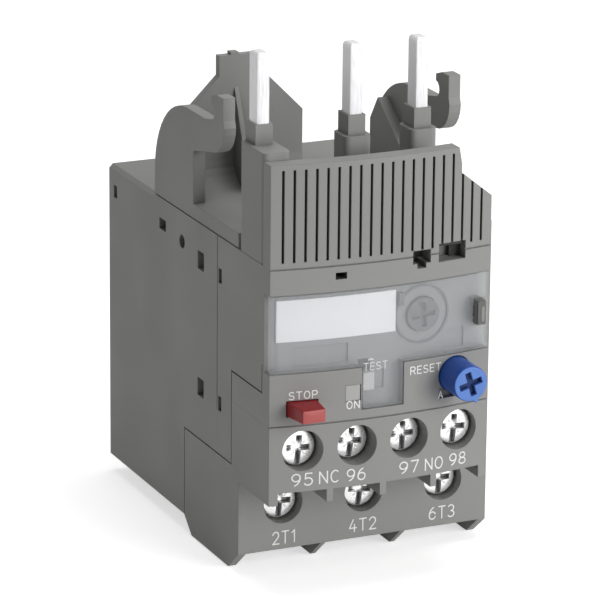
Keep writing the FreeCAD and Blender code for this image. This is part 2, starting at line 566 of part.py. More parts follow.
def main_terminals():
    head_back = "(terminal_depth - screw_sink - screw_head_height)"
    for x, name in zip(poles, pole_names):
        screw("main_screw_" + name, x, "main_screw_height", "(terminal_depth - screw_sink)",
              "main_bar_depth + main_bar_thick + screw_tip_clear", "main_shank_radius")
        cage("main_cage_" + name, x, "main_screw_height", "main_bar_depth", "main_cage_width",
             "main_cage_height",
             "main_wire_gap", "cage_wall", "cage_front", "main_clamp_travel", head_back, "main_shank_radius")
        sides = centred(x, "main_bar_width")
        run = box("bar_run", sides, ("bimetal_depth", "main_bar_depth + main_bar_thick"),
                  ("main_bar_height", "main_bar_height + main_bar_thick"))
        tongue = box("bar_tongue", sides, ("main_bar_depth", "main_bar_depth + main_bar_thick"),
                     ("main_screw_height - main_cage_height / 2 + 1", "main_bar_height + main_bar_thick"))
        node("main_bar_" + name, fuse("main_bar", run, tongue))


def aux_terminals():
    head_front = "(front_depth - screw_sink)"
    head_back = "(front_depth - screw_sink - screw_head_height)"
    for k, (x, name) in enumerate(zip(aux_places, aux_names)):
        screw("aux_screw_" + name, x, "aux_screw_height", head_front,
              "aux_bar_depth + aux_bar_thick + screw_tip_clear", "aux_shank_radius")
        cage("aux_cage_" + name, x, "aux_screw_height", "aux_bar_depth", "aux_cage_width", "aux_cage_height",
             "aux_wire_gap", "aux_cage_wall", "aux_cage_front", "aux_clamp_travel", head_back,
             "aux_shank_radius")
        sides = centred(x, "aux_bar_width")
        tongue = box("aux_tongue", sides, ("aux_bar_depth", "aux_bar_depth + aux_bar_thick"),
                     ("aux_screw_height - aux_cage_height / 2", "floor_top - run_clear"))
        run = box("aux_run", sides, ("contact_depth", "aux_bar_depth + aux_bar_thick"),
                  ("floor_top - run_clear - aux_bar_thick", "floor_top - run_clear"))
        riser = box("aux_riser", sides, ("contact_depth", "contact_depth + aux_bar_thick"),
                    ("floor_top - run_clear - aux_bar_thick", "contact_bar_top"))
        if k < 2:
            span = ("contact_depth - rivet_height", "contact_depth")
        else:
            span = ("contact_depth + aux_bar_thick", "contact_depth + aux_bar_thick + rivet_height")
        rivet = box("aux_rivet", (x + " - rivet_half", x + " + rivet_half"), span,
                    ("contact_height - rivet_half", "contact_height + rivet_half"))
        node("aux_bar_" + name, fuse("aux_bar", tongue, run, riser, rivet))


# ---------------------------------------------------------------- contact pins, sleeves and hood
def pins_and_sleeves():
    for x, name in zip(pins, ("left", "middle", "right")):
        depths = centred("pin_depth", "pin_length_y")
        blade = prism("pin_blade", "front",
                      [(x + " - pin_width / 2", "pin_bottom"), (x + " + pin_width / 2", "pin_bottom"),
                       (x + " + pin_width / 2", "pin_top - pin_tip"), (x + " + pin_width / 4", "pin_top"),
                       (x + " - pin_width / 4", "pin_top"), (x + " - pin_width / 2", "pin_top - pin_tip")],
                       depths)
        node("contact_pin_" + name, blade)
        collar = box("collar", centred(x, "pin_width", "collar_wall"),
                     centred("pin_depth", "pin_length_y", "collar_wall"),
                     ("base_top", "collar_top"))
        sides = centred(x, "pin_width", "column_side")
        front = "(front_depth - hood_thick)" if name == "left" else "(column_front)"
        corners = []
        for across, depth, start in ((sides[1] + " - column_round", front + " - column_round", 0),
                                     (sides[0] + " + column_round", front + " - column_round", 90),
                                     (sides[0] + " + column_round", "column_back + column_round", 180),
                                     (sides[1] + " - column_round", "column_back + column_round", 270)):
            corners += arc(across, depth, "column_round", start, start + 90, 4)
        column = prism("column", "top", corners[::-1], ("base_top", "column_top"))
        bore = box("sleeve_bore", centred(x, "pin_width", "pin_clear"),
                   centred("pin_depth", "pin_length_y", "pin_clear"),
                   ("base_top - 1", "collar_top + 1"))
        node("pin_sleeve_" + name, cut("sleeve", fuse("sleeve_solid", collar, column), bore))


def grille_hood():
    plate = prism("hood_plate", "front",
                  [("left_x", "base_top"), ("front_right", "base_top"), ("front_right", "hood_corner"),
                   ("front_right - shoulder_in", "hood_shoulder"), ("front_right - crest_in", "hood_top"),
                   ("left_x", "hood_top")],
                  ("front_depth - hood_thick", "face_reach + 1"))
    curved = common("hood_curved", plate, face_cylinder("hood_face", "0"))
    tools = [face_cylinder("hood_inside", "hood_thick"),
             box("hood_gap", ("key_left", "key_left + key_width"), ("front_depth - hood_thick - 2",
                                                                    "face_reach + 1"),
                 ("base_top - 1", "base_top + key_up")),
             box("hood_gap", ("sight_left", "sight_left + sight_width"),
                 ("front_depth - hood_thick - 2", "face_reach + 1"), ("base_top - 1", "base_top + sight_up"))]
    grooves = []
    for k in range(int(number("groove_count"))):
        x = "(left_x + groove_inset + groove_pitch * %d)" % k
        grooves.append(box("groove", centred(x, "groove_width"),
                           ("front_depth - 1", "face_reach + 1"),
                           ("base_top + groove_margin", "hood_top - groove_margin")))
    tools.append(cut("groove_cuts", fuse("groove_set", *grooves), face_cylinder("groove_floor",
                                                                                "groove_cut")))
    return node("grille_hood", cut("hood", curved, *tools))


# ---------------------------------------------------------------- coupling frame
def coupling_frame():
    slab = box("slab", ("left_x", "base_width / 2 - hook_inset"), ("hook_back", "slab_front"), ("base_top",
                                                                                                "slab_top"))
    lines = [box("slab_line", across, ("hook_back - 1", "slab_front + 1"), ("base_top - 1",
                                                                            "base_top + seam_width"))
             for across in side_skins("(base_width / 2 - hook_inset)")]
    # a hook: a round back, a throat for the contactor's rim and a beak that leans over it
    hook = [("hook_back", "base_top + seam_width")]
    hook += arc("hook_back + dome_radius", "dome_height", "dome_radius", 180, 90, 12)
    hook += [("throat_depth - 2 * throat_radius", "dome_top")]
    hook += arc("throat_depth", "throat_height", "throat_radius", -90, 90, 6)
    hook += [("throat_depth", "beak_top - beak_slope"), ("throat_depth + 3 * beak_slope", "beak_top"),
             ("beak_front - beak_step", "beak_top"), ("beak_front - beak_step",
                                                      "nose_height + 3 * beak_step")]
    hook += arc("beak_front - nose_radius", "nose_height", "nose_radius", 0, -90, 6)
    hook += [("hook_front", "hook_under"), ("hook_front", "base_top + seam_width")]
    hook = hook[::-1]
    right_x = "(base_width / 2 - hook_inset - hook_plate)"
    plates = [prism("hook_plate", "side", hook, (x, x + " + hook_plate")) for x in ("left_x", right_x)]
    rib = prism("hook_rib", "side",
                [("hook_back + rib_setback", "base_top + seam_width"), ("hook_front",
                                                                        "base_top + seam_width"),
                 ("hook_front", "rib_fall"), ("hook_back + 2 * rib_setback", "rib_top"),
                 ("hook_back + rib_setback", "rib_height")], (right_x + " - rib_thick", right_x))
    # the latch stands across the frame, on a cove and with a gusset before it
    foot = "latch_middle - latch_half - latch_slope"
    far = "latch_middle + latch_half + latch_slope"
    latch = prism("latch_plate", "front",
                  [(foot, "base_top + seam_width"), (far, "base_top + seam_width"), (far,
                                                                                     "latch_shoulder - latch_slope"),
                   ("latch_middle + latch_half", "latch_shoulder"), ("latch_middle + latch_half",
                                                                     "latch_top"),
                   ("latch_middle - latch_half", "latch_top"), ("latch_middle - latch_half",
                                                                "latch_shoulder"),
                   (foot, "latch_shoulder - latch_slope")], ("latch_depth", "latch_depth + latch_thick"))
    nub = box("latch_nub", ("latch_middle - latch_half / 2", "latch_middle - latch_half / 2 + nub_width"),
              ("latch_depth", "latch_depth + latch_thick"), ("latch_top - 1", "latch_top + nub_rise"))
    latch_front = "(latch_depth + latch_thick)"
    cove = prism("latch_cove", "side",
                 [(latch_front, "base_top + seam_width"), (latch_front + " + cove_radius",
                                                           "base_top + seam_width")]
                 + arc(latch_front + " + cove_radius", "slab_top + cove_radius", "cove_radius", 270, 180, 5),
                 (foot, far))
    gusset_x = "(latch_middle - gusset_aside)"
    gusset = prism("latch_gusset", "side",
                   [(latch_front, "slab_top - 1"), (latch_front + " + gusset_reach", "slab_top - 1"),
                    (latch_front + " + gusset_reach", "slab_top"), (latch_front, "gusset_top")],
                   (gusset_x, gusset_x + " + gusset_thick"))
    body = cut("frame_slab", slab, *lines)
    return node("coupling_frame", fuse("frame_solid", body, rib, latch, nub, cove, gusset, *plates))


# ---------------------------------------------------------------- cover, label and dial
def cover_group():
    gap = "cover_clear"
    main = box("cover_main", ("left_x + " + gap, "front_right - " + gap), ("front_depth - 5",
                                                                           "face_reach + 1"),
               ("cover_bottom + " + gap, "cover_top - " + gap))
    tab = box("cover_tab", ("tab_left + " + gap, "tab_left + tab_width - " + gap), ("front_depth - 5",
                                                                                    "face_reach + 1"),
              ("tab_bottom + " + gap, "cover_bottom + 1"))
    sheet_shape = common("cover_curved", fuse("cover_solid", main, tab), face_cylinder("cover_face", "0"))
    seal = box("seal_slot", ("seal_left", "seal_left + seal_width"), ("front_depth - 5", "face_reach + 1"),
               ("seal_bottom", "seal_bottom + seal_height"))
    thin = cut("cover_sheet", sheet_shape, face_cylinder("cover_back", "cover_thick"), seal)
    hinge_at = ("left_x + hinge_radius + cover_clear", "front_depth - hinge_radius - cover_clear")
    barrel = post("cover_barrel", *hinge_at, ("cover_bottom + " + gap, "cover_top - " + gap), "hinge_radius")
    stub = post("cover_stub", *hinge_at, ("cover_bottom - hinge_reach", "cover_top + hinge_reach"),
                "hinge_stub")
    node("clear_cover", fuse("clear_cover_solid", thin, barrel, stub))
    label = box("label_box", ("label_left", "label_right"), ("front_depth - 5", "face_reach + 1"),
                ("label_bottom", "label_bottom + label_height"))
    outer = common("label_outer", label, face_cylinder("label_face", "cover_sink - label_thick"))
    node("label_plate", cut("label", outer, face_cylinder("label_back", "cover_sink")))
    dial_front = "(face_reach - cover_sink + dial_proud)"
    shaft_back = "(cavity_front - shaft_length)"
    dial = rod("dial_knob", "dial_x", ("cavity_front - rim_step", dial_front), "dial_height", "dial_radius")
    shaft = box("dial_shaft", ("dial_x - shaft_half", "dial_x + shaft_half"), (shaft_back,
                                                                               "cavity_front - rim_step"),
                ("dial_height - shaft_half", "dial_height + shaft_half"))
    cam = box("dial_cam", ("dial_x - cam_width / 2", "dial_x + cam_length"), (shaft_back,
                                                                              shaft_back + " + rim_back"),
              centred("dial_height", "cam_width"))
    rim = rod("dial_rim", "dial_x", ("cavity_front - rim_back", "cavity_front - run_clear"), "dial_height",
              "dial_radius + rim_step")
    drive = (dial_front + " - drive_depth", dial_front + " + 1")
    cross = [bar_about("dial_cross", "dial_x", "dial_height", ("0 - cross_half", "cross_half"),
                       "drive_width / 2",
                       angle, drive) for angle in (5, 95)]
    node("setting_dial", cut("dial", fuse("dial_solid", dial, shaft, cam, rim), *cross))


# ---------------------------------------------------------------- buttons, flag and slider
def spring(label, x, z, depths, radius, turns):
    """Helical compression spring along the depth: square wire with flat facets along each turn."""
    start = number("back_y") - number(depths[0]) - number("seat_clear")
    wire = number("spring_wire")
    length = number(depths[1]) - number(depths[0]) - wire - 2 * number("seat_clear")
    radii = (number(radius) - wire, number(radius))
    steps = turns * int(number("spring_facets"))
    sections = []
    for k in range(steps + 1):
        angle = 2 * math.pi * turns * k / steps
        low = length * k / steps
        sections.append([FreeCAD.Vector(r * math.cos(angle), r * math.sin(angle), low + dz)
                         for r, dz in ((radii[0], 0), (radii[1], 0), (radii[1], wire), (radii[0], wire))])
    faces = [Part.Face(Part.makePolygon(ring + ring[:1])) for ring in (sections[0][::-1], sections[-1])]
    for here, ahead in zip(sections, sections[1:]):
        for i in range(4):
            j = (i + 1) % 4
            for corners in ((here[i], here[j], ahead[j]), (here[i], ahead[j], ahead[i])):
                faces.append(Part.Face(Part.makePolygon(list(corners) + [corners[0]])))
    solid = doc.addObject("Part::Feature", label)
    solid.Shape = Part.makeSolid(Part.makeShell(faces)).removeSplitter()
    solid.Placement = FreeCAD.Placement(FreeCAD.Vector(number(x), start, number(z)),
                                        FreeCAD.Rotation(FreeCAD.Vector(1, 0, 0), 90))
    return node(label, solid)


def controls():
    flange = ("flange_depth", "flange_depth + flange_thick")
    # STOP button
    stop_front = "(face_reach + stop_reach)"
    key = prism("stop_key", "top",
                [("stop_x + stop_width / 2", "flange_depth"), ("stop_x - stop_width / 2", "flange_depth"),
                 ("stop_x - stop_width / 2", "face_reach - run_clear"), ("stop_x - stop_tip / 2", stop_front),
                 ("stop_x + stop_tip / 2", stop_front), ("stop_x + stop_width / 2",
                                                         "face_reach - run_clear")],
                centred("stop_height", "stop_tall"))
    collar = box("stop_flange", centred("stop_x", "stop_width", "flange_step"), flange,
                 ("stop_height - stop_tall / 2", "stop_height + stop_tall / 2 + flange_step"))
    node("stop_button", fuse("stop_button_solid", key, collar))
    spring("stop_spring", "stop_x", "stop_height", ("spring_wall + spring_wall_thick", "flange_depth"),
           "stop_coil", 4)
    # RESET: the plunger slides, the knob turns on it
    reset_front = "(face_reach + reset_reach)"
    plunger = fuse("plunger_solid",
                   rod("plunger_stem", "reset_x", ("flange_depth", reset_front + " - cap_thick"),
                       "reset_height",
                       "plunger_radius"),
                   box("plunger_flange", ("reset_x - reset_radius", "reset_x + reset_radius"), flange,
                       ("reset_height - reset_radius", "reset_height + reset_radius")))
    node("reset_plunger", plunger)
    knob = rod("knob_outer", "reset_x", ("flange_depth + flange_thick + seam_gap", reset_front),
               "reset_height",
               "reset_radius")
    pointer = bar_about("knob_pointer", "reset_x", "reset_height", ("reset_radius / 2",
                                                                    "reset_radius + pointer_proud"),
                        "drive_width / 2", number("pointer_angle"), (reset_front + " - pointer_thick",
                                                                     reset_front))
    bore = rod("knob_bore", "reset_x", ("flange_depth", reset_front + " - cap_thick + seam_gap"),
               "reset_height",
               "plunger_radius + thread_clear")
    drive = (reset_front + " - drive_depth", reset_front + " + 1")
    cross = [bar_about("knob_cross", "reset_x", "reset_height", ("0 - cross_half", "cross_half"),
                       "drive_width / 2",
                       number("cross_angle") + angle, drive) for angle in (0, 90)]
    node("reset_knob", cut("knob", fuse("knob_solid", knob, pointer), bore, *cross))
    spring("reset_spring", "reset_x", "reset_height", ("spring_wall + spring_wall_thick", "flange_depth"),
           "reset_coil", 4)
    # trip flag
    half = "flag_size / 2"
    peg = box("flag_peg", ("flag_x - " + half, "flag_x + " + half), ("flange_depth",
                                                                     "face_reach - flag_sink"),
              ("flag_height - " + half, "flag_height + " + half))
    foot = box("flag_foot", ("flag_x - %s - flag_sink" % half, "flag_x + %s + flag_sink" % half),
               ("flange_depth", "flange_depth + 1"), ("flag_height - " + half,
                                                      "flag_height + %s + flag_sink" % half))
    node("trip_flag", fuse("trip_flag_solid", peg, foot))
    # TEST slider
    key = box("test_key", centred("test_x", "test_width"),
              ("cavity_front - 1.2", "face_reach - cover_sink + 0.6"),
              centred("test_height", "test_tall"))
    foot = box("test_foot", ("test_x - test_width / 2", "test_x + test_width / 2 + 0.8"),
               ("cavity_front - 1.2", "cavity_front - run_clear"),
               ("test_height - test_tall / 2 - 0.8", "test_height + test_tall / 2 + 0.8"))
    node("test_slider", fuse("test_slider_solid", key, foot))


# ---------------------------------------------------------------- thermal system and trip gear
def thermal_system():
    bar_top = "main_bar_height + main_bar_thick"
    for x, pin_x, name in zip(poles, pins, pole_names):
        node("bimetal_" + name,
             box("bimetal", centred(x, "bimetal_thick"),
                 ("bimetal_depth", "bimetal_depth + bimetal_width"), (bar_top, "bimetal_top")))
        inner = "(bimetal_thick / 2 + heater_clear)"
        outer = "(bimetal_thick / 2 + heater_clear + heater_wire)"
        rings = []
        for k in range(int(number("heater_turns"))):
            zs = ("heater_bottom + heater_pitch * %d" % k,
                  "heater_bottom + heater_pitch * %d + heater_wire" % k)
            loop = box("heater_loop", ("%s - %s" % (x, outer), "%s + %s" % (x, outer)),
                       ("bimetal_depth - heater_clear - heater_wire",
                        "bimetal_depth + bimetal_width + heater_clear + heater_wire"), zs)
            hole = box("heater_hole", ("%s - %s" % (x, inner), "%s + %s" % (x, inner)),
                       ("bimetal_depth - heater_clear", "bimetal_depth + bimetal_width + heater_clear"),
                       (zs[0] + " - 1", zs[1] + " + 1"))
            rings.append(cut("heater_ring", loop, hole))
        top = "heater_bottom + heater_pitch * (heater_turns - 1) + heater_wire"
        spine = box("heater_spine", centred(x, "heater_wire"),
                    ("bimetal_depth + bimetal_width + heater_clear",
                     "bimetal_depth + bimetal_width + heater_clear + heater_wire"),
                    (bar_top, top))
        node("heater_" + name, fuse("heater", spine, *rings))
        # lead from the contact pin over the room to the heater
        drop_depth = "(bimetal_depth + bimetal_width + heater_clear + heater_wire)"
        half = "lead_width / 2"
        head = (pin_x + " - pin_width / 4", pin_x + " + pin_width / 2")
        pieces = [box("lead_head", head,
                      ("lead_turn", "pin_depth + pin_length_y / 2"), ("pin_bottom - lead_thick",
                                                                      "pin_bottom")),
                  box("lead_cross", ("min(%s; %s - %s)" % (head[0], x, half), "max(%s; %s + %s)" % (head[1],
                                                                                                    x, half)),
                      ("lead_turn", "lead_turn + lead_width"), ("pin_bottom - lead_thick", "pin_bottom")),
                  box("lead_run", (x + " - " + half, x + " + " + half), (drop_depth,
                                                                         "lead_turn + lead_width"),
                      ("pin_bottom - lead_thick", "pin_bottom")),
                  box("lead_drop", (x + " - " + half, x + " + " + half),
                      (drop_depth, drop_depth + " + lead_thick"), (top + " - heater_pitch", "pin_bottom"))]
        node("pole_lead_" + name, fuse("pole_lead", *pieces))


def trip_gear():
    for k, label in enumerate(("trip_slide_lower", "trip_slide_upper")):
        zs = ("slide_bar_bottom + %d * (slide_bar_thick + slide_bar_gap)" % k,
              "slide_bar_bottom + %d * (slide_bar_thick + slide_bar_gap) + slide_bar_thick" % k)
        bar = box("slide_bar", (poles[0] + " - 4", "lever_x - lever_thick / 2 - slide_travel"),
                  ("bimetal_depth - slide_bar_edge", "bimetal_depth + bimetal_width + slide_bar_edge / 2"),
                  zs)
        nose = box("slide_nose", (poles[2], "lever_x - lever_thick / 2 - slide_clear"),
                   ("lever_back + 0.5", "lever_back + 2.5"), zs)
        slots = [box("slide_slot", (x + " - bimetal_thick / 2 - slide_clear - slide_travel",
                                    x + " + bimetal_thick / 2 + slide_clear"),
                     ("bimetal_depth - slide_clear", "bimetal_depth + bimetal_width + slide_clear"),
                     (zs[0] + " - 1", zs[1] + " + 1")) for x in poles]
        node(label, cut("slide", fuse("slide_solid", bar, nose), *slots))
    lever_z = ("slide_bar_bottom - 0.2", "slide_bar_bottom - 0.2 + lever_tall")
    arm = box("lever_arm", centred("lever_x", "lever_thick"), ("lever_back", "lever_front"), lever_z)
    hub = box("lever_hub", ("lever_x - post_boss", "lever_x + post_boss"), ("lever_pivot - post_boss",
                                                                            "lever_pivot + post_boss"),
              lever_z)
    hole = post("lever_hole", "lever_x", "lever_pivot", ("slide_bar_bottom - 2", "slide_bar_bottom + 5"),
                "post_radius + thread_clear")
    node("trip_lever", cut("lever", fuse("lever_solid", arm, hub), hole))
    strip = box("strip", ("lever_x - lever_thick / 2 - strip_thick", "lever_x - lever_thick / 2"),
                ("lever_pivot + strip_start", "lever_front + strip_thick"),
                ("slide_bar_bottom", "slide_bar_bottom + strip_tall"))
    node("compensation_strip", strip)
    boss = box("post_boss", ("lever_x - post_boss", "lever_x + post_boss"), ("lever_pivot - post_boss",
                                                                             "lever_pivot + post_boss"),
               ("slide_bar_bottom + lever_tall", "base_top - wall"))
    pin = post("post_pin", "lever_x", "lever_pivot", ("slide_bar_bottom - 0.6", "base_top - wall"),
               "post_radius")
    node("lever_post", fuse("lever_post_solid", boss, pin))
    # contact carrier with its two bridges
    roof = "(contact_bar_top + carrier_gap)"
    nc_mid = "((%s + %s) / 2)" % (aux_places[0], aux_places[1])
    no_mid = "((%s + %s) / 2)" % (aux_places[2], aux_places[3])
    nc_front = "(contact_depth - rivet_height - touch_gap)"
    no_back = "(contact_depth + aux_bar_thick + rivet_height + contact_gap + touch_gap)"
    nc_leg = (nc_front + " - bridge_thick - carrier_wall", nc_front + " - bridge_thick")
    no_leg = (no_back + " + bridge_thick", no_back + " + bridge_thick + carrier_wall")
    pieces = [box("carrier_beam", (nc_mid + " - carrier_half", no_mid + " + carrier_half"), (nc_leg[0],
                                                                                             no_leg[1]),
                  (roof, roof + " + carrier_thick"))]
    for mid, leg in ((nc_mid, nc_leg), (no_mid, no_leg)):
        pieces.append(box("carrier_leg", (mid + " - rivet_half", mid + " + rivet_half"), leg,
                          ("contact_height - rivet_half", roof + " + carrier_thick / 2")))
    node("contact_carrier", fuse("carrier", *pieces))
    reach = "(aux_pitch / 2 + rivet_half)"
    for label, mid, back in (("nc_bridge", nc_mid, nc_front + " - bridge_thick"), ("no_bridge", no_mid,
                                                                                   no_back)):
        node(label, box(label, ("%s - %s" % (mid, reach), "%s + %s" % (mid, reach)), (back,
                                                                                      back + " + bridge_thick"),
                        ("contact_height - rivet_half", "contact_height + rivet_half")))


rear_housing()
terminal_block()
front_housing()
aux_block()
main_terminals()
aux_terminals()
pins_and_sleeves()
grille_hood()
coupling_frame()
cover_group()
controls()
thermal_system()
trip_gear()
doc.recompute()

# ---------------------------------------------------------------- checks and export
for item in doc.Objects:
    if "Invalid" in item.State or "Error" in item.State:
        raise RuntimeError("%s (%s) did not build" % (item.Name, item.Label))
os.makedirs("parts", exist_ok=True)
for item in nodes:
    shape = item.Shape
    if shape.isNull() or not shape.isValid():
        raise RuntimeError("%s has no valid shape" % item.Label)
for item in nodes:
    item.Shape.exportStep("parts/%s.step" % item.Label)
print("wrote %d sub-parts" % len(nodes))
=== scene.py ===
import bpy
import json
import math
import numpy as np
from mathutils import Matrix, Vector

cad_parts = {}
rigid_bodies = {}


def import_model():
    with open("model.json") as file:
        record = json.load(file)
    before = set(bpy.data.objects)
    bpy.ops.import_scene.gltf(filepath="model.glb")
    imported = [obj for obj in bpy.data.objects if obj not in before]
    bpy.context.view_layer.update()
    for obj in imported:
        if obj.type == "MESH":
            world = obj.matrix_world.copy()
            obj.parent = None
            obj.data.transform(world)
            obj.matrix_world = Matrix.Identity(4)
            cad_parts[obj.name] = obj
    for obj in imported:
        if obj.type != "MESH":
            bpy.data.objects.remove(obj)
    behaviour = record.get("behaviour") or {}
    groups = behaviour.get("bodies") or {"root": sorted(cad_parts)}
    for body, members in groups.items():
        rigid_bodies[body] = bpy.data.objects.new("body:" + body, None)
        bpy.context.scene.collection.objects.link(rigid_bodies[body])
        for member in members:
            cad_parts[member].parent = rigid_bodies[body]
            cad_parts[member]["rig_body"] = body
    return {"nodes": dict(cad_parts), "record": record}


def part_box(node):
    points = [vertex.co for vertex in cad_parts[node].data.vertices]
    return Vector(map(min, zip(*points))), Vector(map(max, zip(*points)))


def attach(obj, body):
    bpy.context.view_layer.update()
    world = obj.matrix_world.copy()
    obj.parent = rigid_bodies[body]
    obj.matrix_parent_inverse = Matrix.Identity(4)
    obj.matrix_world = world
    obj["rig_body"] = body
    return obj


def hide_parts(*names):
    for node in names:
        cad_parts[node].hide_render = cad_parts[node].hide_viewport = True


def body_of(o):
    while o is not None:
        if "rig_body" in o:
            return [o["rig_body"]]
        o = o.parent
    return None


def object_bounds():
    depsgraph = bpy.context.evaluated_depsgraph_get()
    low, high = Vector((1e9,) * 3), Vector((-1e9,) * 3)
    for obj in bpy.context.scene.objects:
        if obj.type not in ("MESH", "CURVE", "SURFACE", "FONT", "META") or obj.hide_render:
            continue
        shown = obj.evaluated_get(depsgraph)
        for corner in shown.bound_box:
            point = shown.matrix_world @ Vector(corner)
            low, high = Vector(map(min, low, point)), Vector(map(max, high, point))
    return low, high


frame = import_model()
nodes = frame["nodes"]
cadLow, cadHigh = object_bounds()
print("frame loaded:", len(nodes), "nodes")

mm = 0.001
scene = bpy.context.scene


# a new material, its node tree, its shader and the object's own coordinates
def startMaterial(name):
    material = bpy.data.materials.new(name)
    material.use_nodes = True
    tree = material.node_tree
    shader = tree.nodes["Principled BSDF"]
    place = tree.nodes.new("ShaderNodeTexCoord")
    return material, tree, shader, place.outputs["Object"]


# cloudy noise, stretched along an axis where a small scale is given for it
def noiseOf(tree, place, scale, detail=3.0, stretch=None):
    noise = tree.nodes.new("ShaderNodeTexNoise")
    noise.inputs["Scale"].default_value = scale
    noise.inputs["Detail"].default_value = detail
    if stretch:
        mapping = tree.nodes.new("ShaderNodeMapping")
        mapping.inputs["Scale"].default_value = stretch
        tree.links.new(place, mapping.inputs["Vector"])
        place = mapping.outputs["Vector"]
    tree.links.new(place, noise.inputs["Vector"])
    return noise.outputs["Fac"]


# low + (high - low) * (source - fromLow) / (fromHigh - fromLow), kept between low and high
def rangeOf(tree, source, low, high, fromLow=0.3, fromHigh=0.7):
    span = tree.nodes.new("ShaderNodeMapRange")
    limits = {"From Min": fromLow, "From Max": fromHigh, "To Min": low, "To Max": high}
    for socket, value in limits.items():
        span.inputs[socket].default_value = value
    tree.links.new(source, span.inputs["Value"])
    return span.outputs["Result"]


# first * (1 - factor) + second * factor, where either may be a colour or a socket
def blendOf(tree, factor, first, second):
    mix = tree.nodes.new("ShaderNodeMix")
    mix.data_type = "RGBA"
    tree.links.new(factor, mix.inputs["Factor"])
    for socket, value in ((mix.inputs["A"], first), (mix.inputs["B"], second)):
        if isinstance(value, tuple):
            socket.default_value = (*value, 1)
        else:
            tree.links.new(value, socket)
    return mix.outputs["Result"]


# the surface tilted by the slope of height * distance, on top of another normal if there is one
def bumpOf(tree, height, distance, strength, under=None):
    bump = tree.nodes.new("ShaderNodeBump")
    bump.inputs["Distance"].default_value = distance
    bump.inputs["Strength"].default_value = strength
    tree.links.new(height, bump.inputs["Height"])
    if under:
        tree.links.new(under, bump.inputs["Normal"])
    return bump.outputs["Normal"]


nodeLook = {"edgeSamples": 4, "cornerSamples": 6, "cornerShut": 0.15, "cornerOpen": 0.85}


# a moulded edge's small radius, seen as a soft line of light along it
def edgeOf(tree, radius):
    edge = tree.nodes.new("ShaderNodeBevel")
    edge.samples = nodeLook["edgeSamples"]
    edge.inputs["Radius"].default_value = radius
    return edge.outputs["Normal"]


# 1 in the open, falling to 0 in the part's own deep corners, from its occlusion: the mask of
# painted shade in corners
def cornerShadeMaskOf(tree, reach):
    corner = tree.nodes.new("ShaderNodeAmbientOcclusion")
    corner.samples = nodeLook["cornerSamples"]
    corner.only_local = True
    corner.inputs["Distance"].default_value = reach
    return rangeOf(tree, corner.outputs["AO"], 0, 1, nodeLook["cornerShut"], nodeLook["cornerOpen"])


# 1 where the piece's own attribute asks for painted shade in a recess
def recessShadeOf(tree):
    attribute = tree.nodes.new("ShaderNodeAttribute")
    attribute.attribute_name = "recessShade"
    return attribute.outputs["Fac"]


# moulded plastic: spark-eroded grain, faint flow mottling, handled spots a little smoother
def mouldedPlastic(name, look):
    material, tree, shader, place = startMaterial(name)
    colour = np.array(look["colour"])
    mottle = rangeOf(tree, noiseOf(tree, place, look["mottleScale"]), 0, 1)
    darker = tuple(colour * (1 - look["mottle"]))
    lighter = tuple(colour * (1 + look["mottle"]))
    base = blendOf(tree, mottle, darker, lighter)
    # the part's own corners are blended towards a darker colour by occlusion: painted shade
    if "corner" in look:
        cornerShadeColour = tuple(colour * look["corner"])
        base = blendOf(tree, cornerShadeMaskOf(tree, look["cornerReach"]), cornerShadeColour, base)
    # recesses are blended towards a darker colour by the piece's own attribute: painted shade
    if "recessShadeColour" in look:
        base = blendOf(tree, recessShadeOf(tree), base, look["recessShadeColour"])
    tree.links.new(base, shader.inputs["Base Color"])
    wear = noiseOf(tree, place, look["wearScale"], look["wearDetail"])
    smooth, dull = look["rough"] - look["roughSpread"], look["rough"] + look["roughSpread"]
    tree.links.new(rangeOf(tree, wear, smooth, dull), shader.inputs["Roughness"])
    grain = noiseOf(tree, place, look["grainScale"], look["grainDetail"])
    under = edgeOf(tree, look["edge"]) if "edge" in look else None
    normal = bumpOf(tree, grain, look["grainDepth"], look["grainStrength"], under)
    tree.links.new(normal, shader.inputs["Normal"])
    shader.inputs["Specular IOR Level"].default_value = look["specular"]
    if "alpha" in look:
        shader.inputs["Alpha"].default_value = look["alpha"]
    return material


# plated or drawn metal: brushed along one axis, with faint handling stains
def workedMetal(name, look):
    material, tree, shader, place = startMaterial(name)
    colour = np.array(look["colour"])
    stain = rangeOf(tree, noiseOf(tree, place, look["stainScale"]), 0, 1)
    base = blendOf(tree, stain, tuple(colour * (1 - look["stain"])), tuple(colour))
    # recesses are blended towards a darker colour by the piece's own attribute: painted shade
    if "recessShadeColour" in look:
        base = blendOf(tree, recessShadeOf(tree), base, look["recessShadeColour"])
    tree.links.new(base, shader.inputs["Base Color"])
    shader.inputs["Metallic"].default_value = look["metallic"]
    brush = noiseOf(tree, place, look["brushScale"], look["brushDetail"], look["brushStretch"])
    rough = rangeOf(tree, brush, look["rough"] * look["polished"], look["rough"] * look["dull"])
    tree.links.new(rough, shader.inputs["Roughness"])
    normal = bumpOf(tree, brush, look["brushDepth"], look["brushStrength"])
    tree.links.new(normal, shader.inputs["Normal"])
    return material


